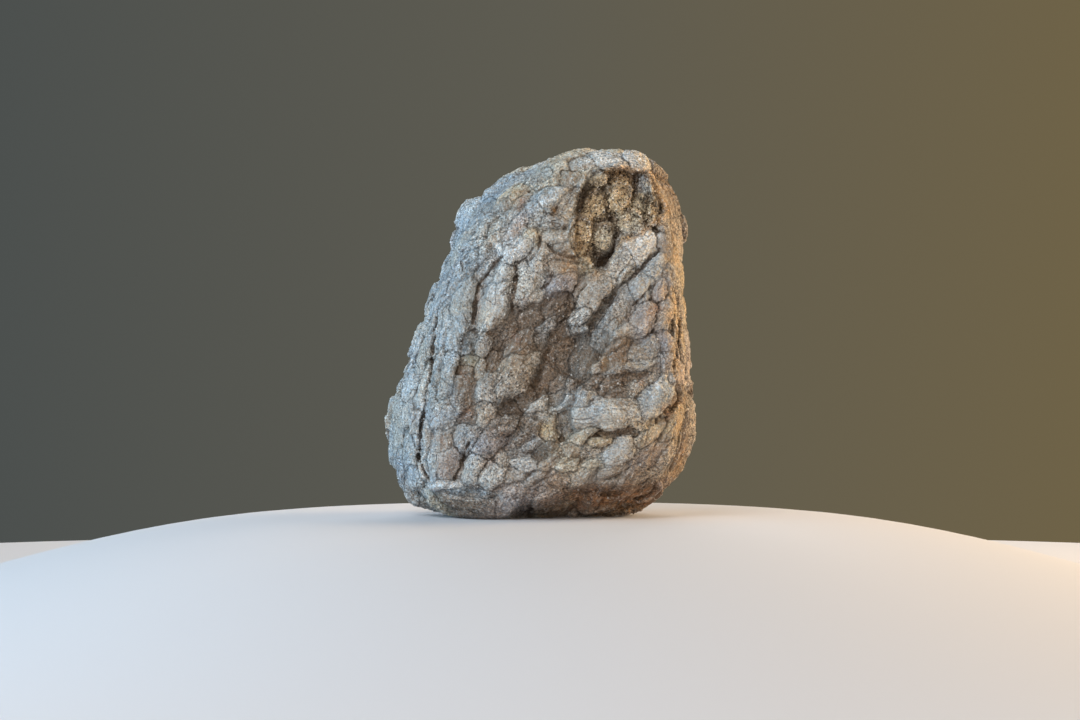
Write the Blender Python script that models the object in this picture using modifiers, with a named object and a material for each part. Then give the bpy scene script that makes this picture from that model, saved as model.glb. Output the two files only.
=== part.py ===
"""Fossil coral: one weathered lump of coral limestone that stands on a worn flat patch.

The front of the stone faces -Y and +Z is up. Lengths are in millimetres while the stone
is shaped, and the finished mesh is scaled to metres. The lumps, cracks and hollows of the
front are laid out as an eye in front of the stone sees them, on an upright plane near its
face, and are carried along the sight lines onto the surface. The other sides are covered by
lumps of the same kind, drawn out along the direction in which the coral grew.
"""
import math

import bmesh
import bpy
import numpy as np
from mathutils import Vector
from mathutils.bvhtree import BVHTree

# Driving dimensions, in millimetres.
MM = 0.001
EYE = np.array((-0.9, -600.0, 34.5))
PLANE_Y = -16.0
MIDDLE = np.array((0.0, 0.0, 38.0))
GROWTH_ORIGIN = np.array((-22.0, 0.0, -30.0))
ROUNDING_STEPS = 8
EASING_STEPS = 2
SHAPING_VOXEL = 0.8
SURFACE_VOXEL = 0.75
TRIANGLES = 9600
SEED = 7

# The outline of the bare stone at rising heights. Each starts at the left edge and goes
# round the front, the right and the back. The lowest is below the cut that leaves the base.
SECTIONS = (
    (-0.6, ((-20, -2), (-19, -11), (-13, -16.5), (-2, -13), (8, -10), (15, -7.5),
           (18, -1), (14, 8), (1, 12), (-12, 11))),
    (3.4, ((-29.6, -1), (-23.5, -13), (-13, -19.5), (0, -18.5), (12, -17), (20, -12.5),
           (24, -3), (20, 12), (3, 17), (-15, 16))),
    (6.5, ((-32, 1), (-25.2, -14.5), (-12, -21), (2, -21.5), (14, -20.5), (24, -15.5),
           (25.8, -5), (23.5, 13), (4, 19.5), (-17, 18))),
    (11.0, ((-33.8, 4), (-26.4, -16), (-12, -22), (2, -22.5), (14, -22), (26, -16.5),
            (31.2, -4), (26, 14), (4, 21.5), (-19, 19.5))),
    (18.0, ((-34.2, 7), (-27.4, -17), (-12, -22), (2, -23), (16, -23), (28, -17.5),
            (33.6, -2), (27, 16), (5, 24), (-20, 22))),
    (24.0, ((-34, 8), (-26.6, -17.5), (-12, -22), (2, -22.5), (16, -23), (29, -17.5),
            (32.8, -2), (28, 17), (5, 25), (-20, 23))),
    (42.0, ((-27.8, 9), (-23, -16), (-11, -19.5), (3, -19.5), (15, -19.5), (28.3, -14.5),
            (30.8, 0), (26, 17), (6, 24), (-17, 22))),
    (58.0, ((-20.4, 9), (-17.4, -12.5), (-7, -16.5), (3, -16.5), (15, -15.5), (27.5, -10),
            (30.4, 2), (25, 16), (6, 21), (-12, 20))),
    (68.5, ((-18.4, 10), (-8.8, -10), (-2, -12.5), (6, -12.5), (15, -12), (26, -6.5),
            (30.3, 8), (23, 14), (6, 18), (-10, 17))),
    (73.5, ((-10.2, 9), (-4, -7), (2, -9.5), (8, -10), (16, -9.5), (24, -5.5),
            (28.6, 9), (22, 12), (8, 15), (-4, 14.5))),
    (77.0, ((-4.8, 6), (-0.5, -4), (5, -6.5), (10, -7.5), (16, -7.5), (22.6, -4.5),
            (23, -1), (20, 7), (10, 10), (0, 9))),
    (79.6, ((3.5, 3.5), (5.5, -1), (9, -3.5), (13, -4), (18, -3.5), (21.8, -1.5),
            (21, 1), (17, 5), (10, 6.5), (5, 6))),
    (80.2, ((10, 1), (13, -0.5), (18, 0), (18, 2), (13, 3))),
)

# Lumps and pits of the front, the left face and the underside's edge: seen across, seen
# height, length, width, turn of the long axis in degrees from +X, rise above the bare stone.
LUMPS = (
    # The shoulder above the left edge, up to the crown.
    (-17.3, 47, 13, 4.6, 84, 0.8),
    (-15, 55, 8, 2.4, 48, 0.2),
    (-16.8, 56, 7, 1.8, 50, -0.1),
    (-11.3, 60, 9, 2.3, 48, 0.4),
    (-8.5, 64.8, 8, 2.2, 48, 0.2),
    (-6.2, 58.7, 6, 4.6, 50, 0.9),
    (-2.9, 61.2, 3.6, 3.2, 70, 0.7),
    (-9, 53.2, 4, 3.4, 70, 0.3),
    (-10.6, 46.5, 11, 4.8, 86, 0.8),
    (-4, 51, 9.5, 4.8, 84, 0.6),
    (-0.8, 56.2, 6, 3.8, 75, 0.5),
    (2.3, 61.4, 4.6, 2.3, 168, 0.4),
    (2.8, 58.6, 3.4, 2.6, 30, 0.1),
    (0.8, 69.3, 7, 4, 42, 0.5),
    (-2.5, 66.5, 5, 4, 50, 0),
    (2.5, 64.6, 6, 2.6, 5, 0),
    (-5.3, 68.8, 5, 1.6, 60, 0.1),
    (5, 74, 3.6, 3, 60, 0.3),
    (-0.5, 74.3, 6, 2.6, 35, 0.2),
    (7.5, 77.3, 6, 2.6, 20, 0.2),
    (13, 78.3, 7, 2.6, 0, 0.2),
    (20.5, 77.8, 5.5, 4, 155, 0.5),
    (16, 76.5, 5, 2, 0, 0.2),
    # Right of the hollow.
    (19, 57, 16, 5, 48, -0.6),
    (22.8, 52.5, 11, 5, 55, 0.5),
    (17.5, 53.5, 7, 3, 50, 0),
    (27, 53, 5, 3.6, 85, 0.5),
    (26.6, 59.5, 6, 3, 85, 0),
    (26.2, 63, 3, 2.4, 80, 0.2),
    # The middle, with its long brown valley.
    (4.2, 54.2, 5, 3.2, 10, 0.3),
    (8.6, 54.2, 3.6, 3, 30, 0.1),
    (4.1, 50.6, 5.4, 4.6, 20, 0.5),
    (10.2, 49, 9, 5.4, 60, 0.9),
    (7.6, 43.8, 5, 3.4, 60, 0.6),
    (7.8, 41.4, 4.4, 2, 10, 0.1),
    (3.2, 47, 6, 4, 60, -1.6),
    (-3.5, 44, 6, 3.4, 30, -1.6),
    (-9, 41, 9, 3.6, 50, -1.8),
    (0.6, 42.2, 5, 2.2, 50, -0.6),
    (-0.8, 38.8, 3.4, 2.8, 40, -0.2),
    (-4.7, 37.3, 6, 4.8, 65, 0.4),
    (-3, 34.2, 4, 2, 25, 0.1),
    (-7, 30.7, 11, 5, 57, 0.9),
    (3.2, 37, 10, 4.4, 88, -4.2),
    (0.3, 30.5, 8, 3.6, 60, -3.6),
    (-3.5, 26.5, 6, 2.6, 50, -2.6),
    (8.5, 36, 9, 5, 75, -3.2),
    (13.2, 46.3, 9, 1.8, 55, -3),
    (15.8, 44.5, 12, 4.6, 58, -1),
    (12, 39.3, 5, 3.6, 60, -2),
    # The right.
    (21.3, 44, 6.5, 5, 60, 0.4),
    (25.8, 44, 6.8, 4, 68, 0.6),
    (17, 40.8, 6, 3, 38, 0.3),
    (26, 38.6, 4.2, 3.6, 80, 0.5),
    (21.2, 37, 6, 4, 30, 0.3),
    (15.3, 37, 5, 3, 35, -0.2),
    (26.2, 33.2, 4.4, 3.6, 85, 0.6),
    (18.8, 33.2, 8.5, 2, 20, 0.3),
    (11, 33, 2.5, 2.1, 20, -0.4),
    (13.2, 33.8, 2.6, 2.1, 0, -0.4),
    (10.8, 29.4, 4.4, 2, 38, -1.2),
    (20, 31, 9, 1.8, 18, -1.6),
    (14.5, 29.5, 5, 3, 30, -1.8),
    (21.3, 29.8, 8, 3.2, 42, 0.3),
    (16.5, 27.3, 4.6, 2.2, 5, -0.4),
    (24.3, 26.3, 10.5, 5.4, 60, 1.0),
    (13.6, 22.4, 14.5, 5.6, 4, 1.2),
    (28.5, 27, 2.2, 2, 0, -0.6),
    (21.5, 21, 4.6, 2, 5, 0),
    (15.5, 18.4, 9, 1.4, 4, -1.8),
    (23, 18.6, 7, 3.4, 45, 0.2),
    (27.2, 19.5, 11, 2.4, 62, 0.3),
    (29.2, 20.5, 9, 1.8, 68, 0),
    (20.5, 13.8, 8, 2.6, 38, 0.2),
    (24.5, 14.5, 8, 2.4, 48, 0),
    (27.4, 14, 8, 2.2, 55, 0.1),
    # The strata of the right face.
    (32, 21.5, 8, 2.4, 84, 0.5),
    (31.6, 15.5, 5, 2.6, 80, 0.3),
    (29.4, 12, 7, 2.8, 50, 0),
    (31, 27.5, 7, 1.8, 82, -0.3),
    (29.6, 31.5, 5, 2.4, 90, 0.2),
    (28.6, 34, 6, 1.4, 80, 0.2),
    (30.9, 37.5, 9, 2.0, 92, 0.5),
    (30.3, 45, 7, 1.6, 88, 0.3),
    (28.6, 44, 7, 1.4, 85, 0.2),
    (27.9, 41.2, 3.4, 1.4, 70, -1.4),
    (29.6, 52, 8, 1.8, 88, 0.3),
    (28.9, 60.5, 9, 1.8, 102, 0.3),
    (27.4, 69, 8, 3.4, 112, 0.3),
    (24.9, 74.4, 2.4, 2, 120, -1.2),
    # The foot of the front.
    (16.2, 14.3, 6, 3.8, 20, 0.6),
    (12.1, 17.1, 4, 3.2, 20, 0.3),
    (10.2, 14.6, 4.6, 2.4, 160, 0.2),
    (6.2, 15.3, 3.8, 3.2, 40, 0),
    (5.1, 11.7, 4, 3.4, 10, 0.7),
    (10, 11.9, 5, 2.2, 15, 0.4),
    (15.8, 10.8, 6, 2, 18, 0.2),
    (0.8, 12, 5, 2.4, 25, 0.5),
    (1.3, 19.4, 5.6, 3.2, 90, -0.2),
    (4.8, 20.5, 6, 2.4, 90, -1.6),
    (2.6, 29.8, 4, 3.4, 60, -1.4),
    (3, 26.8, 4, 2.2, 70, -1.6),
    (-1.2, 25, 4.6, 2.8, 20, 0),
    (-0.5, 22.2, 3.4, 1.8, 10, -0.4),
    (-4.2, 19.2, 8, 3.6, 48, 0.1),
    (-3.8, 15, 7, 2.2, 22, 0),
    (-4.5, 12, 5, 2.4, 10, 0.3),
    (0.3, 15.3, 4, 2, 30, -0.6),
    # The lower left.
    (-22.8, 32.2, 7, 2.3, 88, 0.2),
    (-20.3, 33, 7, 2.8, 85, 0.4),
    (-19.6, 40.5, 9, 3.4, 88, 0.1),
    (-21.9, 41.5, 9, 1.8, 82, 0),
    (-16.4, 38.5, 5, 3.4, 75, -0.8),
    (-13.2, 37.6, 5.6, 3.6, 70, 0),
    (-16.3, 34.4, 3.2, 2.4, 10, -0.6),
    (-17.4, 31.8, 2.6, 2.2, 80, -0.8),
    (-11.5, 34.5, 4, 3, 60, -1),
    (-12, 28.2, 6.4, 4.8, 80, 0.6),
    (-17.7, 27.6, 7, 4.2, 70, 0.4),
    (-22.6, 28, 5, 3, 85, 0),
    (-13, 23.2, 4.6, 3.8, 60, 0.1),
    (-16.6, 22.6, 5, 2.2, 50, -0.6),
    (-22.2, 22.5, 7, 4.6, 62, 0.6),
    (-8.6, 20.6, 6.4, 3.8, 20, 0.2),
    (-7.2, 23.8, 4.2, 2.6, 10, -2.4),
    (-16.7, 18, 5.4, 4.8, 60, 0.3),
    (-12.3, 16.6, 7, 5.6, 45, 0.5),
    (-22.2, 17.2, 5.4, 4, 85, 0.2),
    (-21.2, 12.2, 6.6, 4.8, 70, 0.7),
    (-15.2, 10.4, 6.2, 5, 60, 0.6),
    (-11.2, 9, 5.6, 4.6, 40, 0.4),
    (-7, 9.4, 5, 3.2, 30, 0.3),
    (-2.6, 9, 5, 3, 20, 0.3),
    (-8.7, 13.2, 3, 2.4, 60, 0.1),
    (-24.8, 13, 9, 2, 80, 0),
    (-22, 7.6, 6, 2, 10, 0.1),
    # The layers above the underside.
    (-16, 5.4, 10, 1.6, 0, -0.8),
    (-16, 2.8, 12, 3.6, 5, 0),
    (-1, 6.2, 8, 1.8, 8, -0.2),
    (3.4, 8.2, 6, 2, 5, -0.4),
    (8, 6.6, 5, 2, 0, -0.8),
    (13.2, 7.8, 5, 1.4, 5, 0),
    (14, 5.8, 8, 1.4, 3, -0.8),
    (21, 8.8, 7, 1.8, 20, 0),
    # The ridges of the left face.
    (-24.6, 45.4, 4, 1.8, 60, 0.6),
    (-24.9, 41.2, 4, 1.4, 80, 0.4),
    (-26.6, 37.5, 6, 1.8, 80, 0.8),
    (-28.6, 29, 8, 2.2, 84, 0.9),
    (-27.2, 32.6, 3, 1.4, 80, 0.2),
    (-29.4, 23.4, 5, 1.8, 88, 0.6),
    (-31.6, 20, 15, 2.2, 88, 0.8),
    (-29.3, 14.5, 7, 2.4, 97, 0.6),
    (-28.2, 9, 6, 2.4, 122, 0.4),
    (-30.4, 34, 8, 1.6, 75, 0.4),
    (-26.6, 5.2, 3, 1.8, 140, -1.4),
    (-22.4, 51, 9, 2, 68, 0),
    (-19.2, 58.5, 8, 1.8, 66, 0),
    (-20.6, 58, 9, 1.6, 72, -0.8),
    (-16.5, 66.5, 7, 3.6, 60, 0.5),
    (-12.5, 67.5, 8, 2.4, 48, 0.1),
)

# The open ends of the corallites in the hollow: seen across, seen height, width, height,
# rise above the hollow's floor.
CORALLITES = (
    (11.2, 67.4, 4.8, 5.0, 0.7),
    (15.8, 68.7, 4.6, 5.4, 1.3),
    (20.1, 67.6, 2.8, 3.6, 0.6),
    (22.9, 66.4, 3.0, 4.6, 0.9),
    (18.2, 64.0, 5.4, 4.0, 1.2),
    (8.2, 60.9, 4.3, 6.6, 2.8),
    (12.6, 60.5, 3.8, 5.0, 1.8),
    (11.6, 73.6, 4.4, 3.8, 2.4),
    (16.4, 73.4, 4.0, 3.2, 0.6),
    (21.2, 72.0, 2.4, 5.0, 1.6),
    (23.5, 70.6, 2.0, 4.0, 0.6),
)
CORALLITE_DOME = 2.2
CORALLITE_DIMPLE = 0.6

# The dimple's radius, in half widths of its corallite.
DIMPLE_RADIUS = 0.4

# The rim of the hollow, as seen.
HOLLOW_RIM = (
    (10, 75), (8, 72.5), (6.5, 70), (6, 67), (6, 64), (5.7, 61), (5.6, 58.6), (6.8, 56.9), (9.5, 56),
    (11, 54), (13.8, 53.9), (15.7, 57.5), (17, 60.6), (20, 61.2), (22, 63), (24.8, 65),
    (26.8, 66.3), (25.5, 69.5), (24, 72), (22.8, 75), (18, 76), (14, 75.6),
)
HOLLOW_DEPTH = 6.5
HOLLOW_WALL = 2.0

# How much shallower the hollow gets towards the right, and between which seen places.
HOLLOW_EASE = 0.35
HOLLOW_RUN = (14.0, 22.0)

# How high the lumps may stand at the hollow's rim, and how far from it this eases off
# within the hollow and beyond it.
RIM_HEIGHT = 0.6
RIM_EASE = 2.4
RIM_REACH = 5.0

# Broad hollows: seen across, seen height, half length, half width, turn, depth.
VALLEYS = (
    (4.5, 38.5, 15, 6.5, 66, 3.0),
    (-8.0, 40.0, 9, 3.5, 50, 0.8),
    (17.5, 56.5, 10, 4.0, 48, 0.6),
)

# Cracks: width, depth, then the points that they pass through.
CRACKS = (
    (1.0, 1.6, ((-9.3, 57), (-11.8, 54), (-13.7, 51.5), (-14.6, 48.5), (-15.4, 42.5))),
    (0.8, 1.2, ((-6.1, 55.5), (-6.1, 51.5), (-6.7, 49), (-6.7, 45.2))),
    (0.8, 1.2, ((-1.3, 62.8), (-0.6, 60.3), (-1.8, 58), (-3.2, 56.2))),
    (0.8, 1.3, ((1.6, 53.4), (1.2, 51.6), (-0.4, 50))),
    (0.8, 1.2, ((9, 51), (7.5, 49.2), (6.5, 46.6))),
    (0.8, 1.2, ((25, 58.6), (21.5, 55.3), (19.7, 52.8))),
    (0.8, 1.2, ((23.3, 50.5), (21, 47.8), (19.2, 46.3))),
    (1.0, 1.6, ((-16.3, 16.5), (-17.3, 13.8), (-18, 11.5), (-19.4, 8.6))),
    (0.8, 1.3, ((7.4, 56.6), (4.8, 56.9), (2.2, 57.9), (1.0, 59.6))),
    (1.6, 3.0, ((27.2, 31), (28, 29.5), (29.7, 27.5), (29.6, 26), (28.3, 24.8), (24.5, 21.2))),
    (0.6, 2.2, ((29.5, 49.2), (28.8, 46.8), (28.2, 44.8))),
    (0.6, 2.0, ((29.5, 43.5), (29.5, 40.5), (28.9, 36.5), (28.2, 33))),
    (0.9, 2.4, ((31, 23), (30.4, 19), (29.6, 15), (27.4, 10.6))),
    (0.8, 3.2, ((-23.4, 43.4), (-24.2, 38), (-24.9, 31), (-25.8, 24.5), (-26.9, 19),
                (-27.3, 13), (-25.2, 8.8))),
    (0.7, 1.6, ((-21.6, 48.4), (-20.4, 52.6), (-18.2, 57.6), (-14.6, 61.4))),
)

# The lip under which the front is hollowed, from left to right as seen, and how far.
LIP = ((-9, 1.5), (-5, 4.6), (1, 5.6), (5, 7.6), (11, 8.4), (24, 8.8), (27, 7.0))
LIP_SETBACK = 6.0
LIP_STEP = 3.6

# Over what lengths the hollowing under the lip starts at the left and stops at the right.
LIP_START = (0.0, 4.0)
LIP_STOP = (-2.0, 1.0)

# Lumps of the sides that the eye does not see: they are large and flat in some regions and
# small and steep in others.
FILL_LENGTH = (4.8, 11.0)
FILL_WIDTH = (2.8, 5.0)
FILL_VARIATION = 0.15
FILL_RISE = 0.7
FILL_FLATNESS = 1.4
FILL_SWAY = math.radians(18)
REGION_SIZE = 16.0
REGION_SPREAD = 0.32
FILL_TRIES = 9000
FILL_SPACING = 1.62

# Worn hollows and low swells of the hidden sides: place, reach and depth.
SIDE_HOLLOWS = (
    ((16, 22, 54), 8, 3.0),
    ((-4, 26, 34), 7, 2.6),
    ((-14, 22, 16), 8, 2.4),
    ((12, 24, 18), 6, 2.0),
    ((-27, 12, 36), 7, 2.0),
    ((31, 9, 24), 7, 2.2),
    ((29, 8, 50), 6, 1.4),
    ((-8, 19, 62), 7, 2.0),
    ((4, 12, 77), 5, 1.2),
)
SWELL_SIZE = 13.0
SWELL_HEIGHT = 1.1

# How the lumps meet. The reach of a dome is in half sizes of its lump.
DOME_SHARE = 0.22
DOME_REACH = 1.3
TILT = 0.3
CREVICE_DEPTH = 0.6
CREVICE_WIDTH = 0.2
STEP_SHARPNESS = 3.2
WANDER = 0.7
WANDER_SIZE = 3.5

# Where the eye sees a lump slanting, it is drawn out along the sight lines, but its seen
# length and width are never divided by less than these.
LEAST_LENGTH_SHARE = 0.4
LEAST_WIDTH_SHARE = 0.3

# How squarely the surface faces the eye where the seen forms begin and where they are full.
FACING = (0.02, 0.3)

# The heights between which the relief grows from nothing to full, over the flat patch, and
# how near to the cut a point counts as lying in it.
BASE_FADE = (-0.5, 2.0)
BASE_SNAP = 0.08

# Edges steeper than this are left sharp.
SHARP_ANGLE = math.radians(60)


def remove_all_objects():
    """Clears the scene of its objects."""
    for found in list(bpy.data.objects):
        bpy.data.objects.remove(found, do_unlink=True)


def stone_material():
    """Weathered grey limestone."""
    material = bpy.data.materials.new("coral_limestone")
    material.use_nodes = True
    shader = material.node_tree.nodes["Principled BSDF"]
    shader.inputs["Base Color"].default_value = (0.31, 0.27, 0.23, 1.0)
    shader.inputs["Roughness"].default_value = 0.85
    shader.inputs["Metallic"].default_value = 0.0
    return material


def hull_mesh():
    """The bare stone: the tight skin round all its outlines."""
    shape = bmesh.new()
    for height, outline in SECTIONS:
        for across, depth in outline:
            shape.verts.new((across * MM, depth * MM, height * MM))
    result = bmesh.ops.convex_hull(shape, input=shape.verts)
    spare = {item for item in result["geom_interior"] if isinstance(item, bmesh.types.BMVert)}
    bmesh.ops.delete(shape, geom=list(spare), context="VERTS")
    bmesh.ops.recalc_face_normals(shape, faces=shape.faces)
    mesh = bpy.data.meshes.new("bare_stone")
    shape.to_mesh(mesh)
    shape.free()
    return mesh


def modified(mesh, name, kind, **settings):
    """A new mesh: the given one after one modifier."""
    carrier = bpy.data.objects.new(name, mesh)
    bpy.context.scene.collection.objects.link(carrier)
    modifier = carrier.modifiers.new(name, kind)
    for setting, value in settings.items():
        setattr(modifier, setting, value)
    evaluated = carrier.evaluated_get(bpy.context.evaluated_depsgraph_get())
    result = bpy.data.meshes.new_from_object(evaluated)
    bpy.data.objects.remove(carrier, do_unlink=True)
    return result


def points_of(mesh):
    """The mesh's points in millimetres."""
    flat = np.empty(len(mesh.vertices) * 3, dtype=np.float32)
    mesh.vertices.foreach_get("co", flat)
    return flat.reshape(-1, 3).astype(np.float64) / MM


def normals_of(mesh):
    """The mesh's outward directions, one for each point."""
    flat = np.empty(len(mesh.vertices) * 3, dtype=np.float32)
    mesh.vertex_normals.foreach_get("vector", flat)
    return flat.reshape(-1, 3).astype(np.float64)


def set_points(mesh, points):
    """Moves the mesh's points to the given places, in millimetres."""
    mesh.vertices.foreach_set("co", (points * MM).astype(np.float32).ravel())
    mesh.update()


def lattice_noise(points, size, seed):
    """Smooth noise from -1 to 1 with features of the given size."""
    cells = 32
    table = np.random.RandomState(seed).uniform(-1.0, 1.0, (cells, cells, cells))
    scaled = points / size
    low = np.floor(scaled).astype(int)
    part = scaled - low
    part = part * part * (3.0 - 2.0 * part)
    total = np.zeros(len(points))
    for corner in range(8):
        step = np.array((corner & 1, corner >> 1 & 1, corner >> 2 & 1))
        share = np.prod(np.where(step, part, 1.0 - part), axis=1)
        index = (low + step) % cells
        total += share * table[index[:, 0], index[:, 1], index[:, 2]]
    return total


def smoothstep(low, high, value):
    """0 below low, 1 above high, and a smooth rise between."""
    t = np.clip((value - low) / (high - low), 0.0, 1.0)
    return t * t * (3.0 - 2.0 * t)


def unit(vectors):
    """The vectors at length one."""
    return vectors / np.maximum(np.linalg.norm(vectors, axis=-1, keepdims=True), 1e-9)


def seen(points):
    """Where the eye sees the points on the upright plane: across and height."""
    share = (PLANE_Y - EYE[1]) / (points[:, 1] - EYE[1])
    across = EYE[0] + (points[:, 0] - EYE[0]) * share
    height = EYE[2] + (points[:, 2] - EYE[2]) * share
    return np.stack((across, height), axis=1)


def frame_on(normal, along):
    """Two directions in the surface: the given one laid into it, and the one across it."""
    first = unit(along - normal * np.dot(along, normal))
    return first, np.cross(normal, first)


def seen_lump(tree, across, height, length, width, turn, rise, dome):
    """A lump placed where the eye sees it, or None where the sight line misses the stone."""
    target = np.array((across, PLANE_Y, height))
    sight = unit(target - EYE)
    place, normal, _, _ = tree.ray_cast(Vector(EYE * MM), Vector(sight))
    if place is None:
        return None
    normal = np.array(normal)
    angle = math.radians(turn)
    first, second = frame_on(normal, np.array((math.cos(angle), 0.0, math.sin(angle))))
    half_length = 0.5 * length / max(math.hypot(first[0], first[2]), LEAST_LENGTH_SHARE)
    half_width = 0.5 * width / max(math.hypot(second[0], second[2]), LEAST_WIDTH_SHARE)
    return np.array(place) / MM, normal, first, second, half_length, half_width, rise, dome


def placed_lumps(tree):
    """Every lump that the eye sees, with the corallites' ends."""
    lumps = []
    for across, height, length, width, turn, rise in LUMPS:
        dome = DOME_SHARE * min(length, width)
        lumps.append(seen_lump(tree, across, height, length, width, turn, rise, dome))
    for across, height, width, tall, rise in CORALLITES:
        lumps.append(seen_lump(tree, across, height, tall, width, 90, rise, CORALLITE_DOME))
    return [lump for lump in lumps if lump is not None]


def lump_offsets(points, lump):
    """How far the points are along, across and out from a lump's centre, in half sizes."""
    place, normal, first, second, half_length, half_width = lump[:6]
    offset = points - place
    along = offset @ first / half_length
    across = offset @ second / half_width
    out = offset @ normal / max(half_length, half_width)
    return along, across, out


def lump_distance(points, lump):
    """Distance from a lump's centre, 1 at its edge."""
    along, across, out = lump_offsets(points, lump)
    return np.sqrt(along ** 2 + across ** 2 + out ** 2)


def filled_lumps(tree, lumps):
    """Adds lumps along the growth direction until the whole stone is covered.

    They lie where rays cast from the stone's middle come out.
    """
    random = np.random.RandomState(SEED)
    middle = Vector(MIDDLE * MM)
    hits = [tree.ray_cast(middle, Vector(way)) for way in random.normal(size=(FILL_TRIES, 3))]
    places = np.array([hit[0] for hit in hits]) / MM
    normals = np.array([hit[1] for hit in hits])
    region = lattice_noise(places, REGION_SIZE, SEED + 11)
    free = np.ones(len(places), dtype=bool)
    for lump in lumps:
        free &= lump_distance(places, lump) > FILL_SPACING
    result = list(lumps)
    for pick in range(len(places)):
        spread = math.exp(2.0 * REGION_SPREAD * region[pick] + random.normal(0.0, FILL_VARIATION))
        length = random.uniform(*FILL_LENGTH) * spread
        width = random.uniform(*FILL_WIDTH) * spread
        sway = random.normal(0.0, FILL_SWAY)
        rise = FILL_RISE * random.uniform(-1.0, 1.0)
        if not free[pick]:
            continue
        place = places[pick]
        normal = normals[pick]
        first, second = frame_on(normal, unit(place - GROWTH_ORIGIN))
        along = first * math.cos(sway) + second * math.sin(sway)
        first, second = frame_on(normal, along)
        dome = DOME_SHARE * width / spread ** FILL_FLATNESS
        lump = (place, normal, first, second, 0.5 * length, 0.5 * width, rise, dome)
        result.append(lump)
        free &= lump_distance(places, lump) > FILL_SPACING
    return result


def lump_relief(points, lumps):
    """Height of the lumps over the bare stone, with a crevice where two of them meet."""
    wandered = points.copy()
    for axis in range(3):
        wandered[:, axis] += WANDER * lattice_noise(points, WANDER_SIZE, SEED + axis)
    nearest = np.full(len(points), 1e9)
    second = np.full(len(points), 1e9)
    dome = np.zeros(len(points))
    slope = np.zeros(len(points))
    random = np.random.RandomState(SEED + 1)
    distances = np.empty((len(lumps), len(points)), dtype=np.float32)
    for index, lump in enumerate(lumps):
        along, across, out = lump_offsets(wandered, lump)
        distance = np.sqrt(along ** 2 + across ** 2 + out ** 2)
        distances[index] = distance
        closer = distance < nearest
        second = np.where(closer, nearest, np.minimum(second, distance))
        dome = np.where(closer, lump[7], dome)
        tilt = TILT * random.uniform(-1.0, 1.0, 2)
        slope = np.where(closer, tilt[0] * along + tilt[1] * across, slope)
        nearest = np.where(closer, distance, nearest)
    rise = np.zeros(len(points))
    weight = np.zeros(len(points))
    for index, lump in enumerate(lumps):
        share = np.exp(-STEP_SHARPNESS * (distances[index] ** 2 - nearest ** 2))
        rise += share * lump[6]
        weight += share
    height = rise / weight + dome * (1.0 - np.clip(nearest, 0.0, DOME_REACH) ** 2) + slope
    crevice = CREVICE_DEPTH * np.exp(-((second - nearest) / CREVICE_WIDTH) ** 2)
    return height - crevice


def distance_to_line(places, line, closed=False):
    """Least distance from each place to a line of points, in the plane of sight."""
    corners = np.array(line, dtype=float)
    ends = np.roll(corners, -1, axis=0) if closed else corners[1:]
    least = np.full(len(places), 1e9)
    for start, end in zip(corners, ends):
        run = end - start
        share = np.clip((places - start) @ run / (run @ run), 0.0, 1.0)
        foot = start + share[:, None] * run
        least = np.minimum(least, np.linalg.norm(places - foot, axis=1))
    return least


def inside(places, outline):
    """Whether each place is within a closed outline."""
    corners = np.array(outline, dtype=float)
    within = np.zeros(len(places), dtype=bool)
    for start, end in zip(corners, np.roll(corners, -1, axis=0)):
        crosses = (start[1] > places[:, 1]) != (end[1] > places[:, 1])
        rise = end[1] - start[1] if end[1] != start[1] else 1e-9
        at = start[0] + (places[:, 1] - start[1]) / rise * (end[0] - start[0])
        within ^= crosses & (places[:, 0] < at)
    return within


def hollow_depth(places):
    """The hollow below the crown, with steep walls and the corallites' dimples."""
    rim = distance_to_line(places, HOLLOW_RIM, closed=True)
    depth = HOLLOW_DEPTH * smoothstep(0.0, HOLLOW_WALL, rim) * inside(places, HOLLOW_RIM)
    depth *= 1.0 - HOLLOW_EASE * smoothstep(*HOLLOW_RUN, places[:, 0])
    for across, height, width, tall, _ in CORALLITES:
        radius = np.hypot((places[:, 0] - across) / (0.5 * width),
                          (places[:, 1] - height) / (0.5 * tall))
        depth += CORALLITE_DIMPLE * np.exp(-(radius / DIMPLE_RADIUS) ** 2)
    return depth


def overhang(places, height):
    """How far the corallites' lumps would stand out at the hollow's rim and beyond."""
    rim = distance_to_line(places, HOLLOW_RIM, closed=True)
    within = 1.0 - smoothstep(0.0, RIM_EASE, rim)
    beyond = 1.0 - smoothstep(0.0, RIM_REACH, rim)
    near = np.where(inside(places, HOLLOW_RIM), within, beyond)
    return near * np.maximum(height - RIM_HEIGHT, 0.0)


def valley_depth(places):
    """The broad hollows of the front."""
    total = np.zeros(len(places))
    for across, height, half_length, half_width, turn, depth in VALLEYS:
        angle = math.radians(turn)
        offset = places - (across, height)
        along = offset @ (math.cos(angle), math.sin(angle)) / half_length
        aside = offset @ (-math.sin(angle), math.cos(angle)) / half_width
        total += depth * np.exp(-(along ** 2 + aside ** 2))
    return total


def side_form(points, hidden):
    """Hollows and swells of the sides that the eye does not see."""
    total = SWELL_HEIGHT * hidden * lattice_noise(points, SWELL_SIZE, SEED + 21)
    for place, reach, depth in SIDE_HOLLOWS:
        away = np.linalg.norm(points - place, axis=1)
        total -= depth * hidden * np.exp(-(away / reach) ** 2)
    return total


def crack_relief(places):
    """The cracks, each a groove with sloping sides."""
    total = np.zeros(len(places))
    for width, depth, line in CRACKS:
        away = distance_to_line(places, line)
        total = np.minimum(total, -depth * np.exp(-(away / width) ** 2))
    return total


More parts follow.
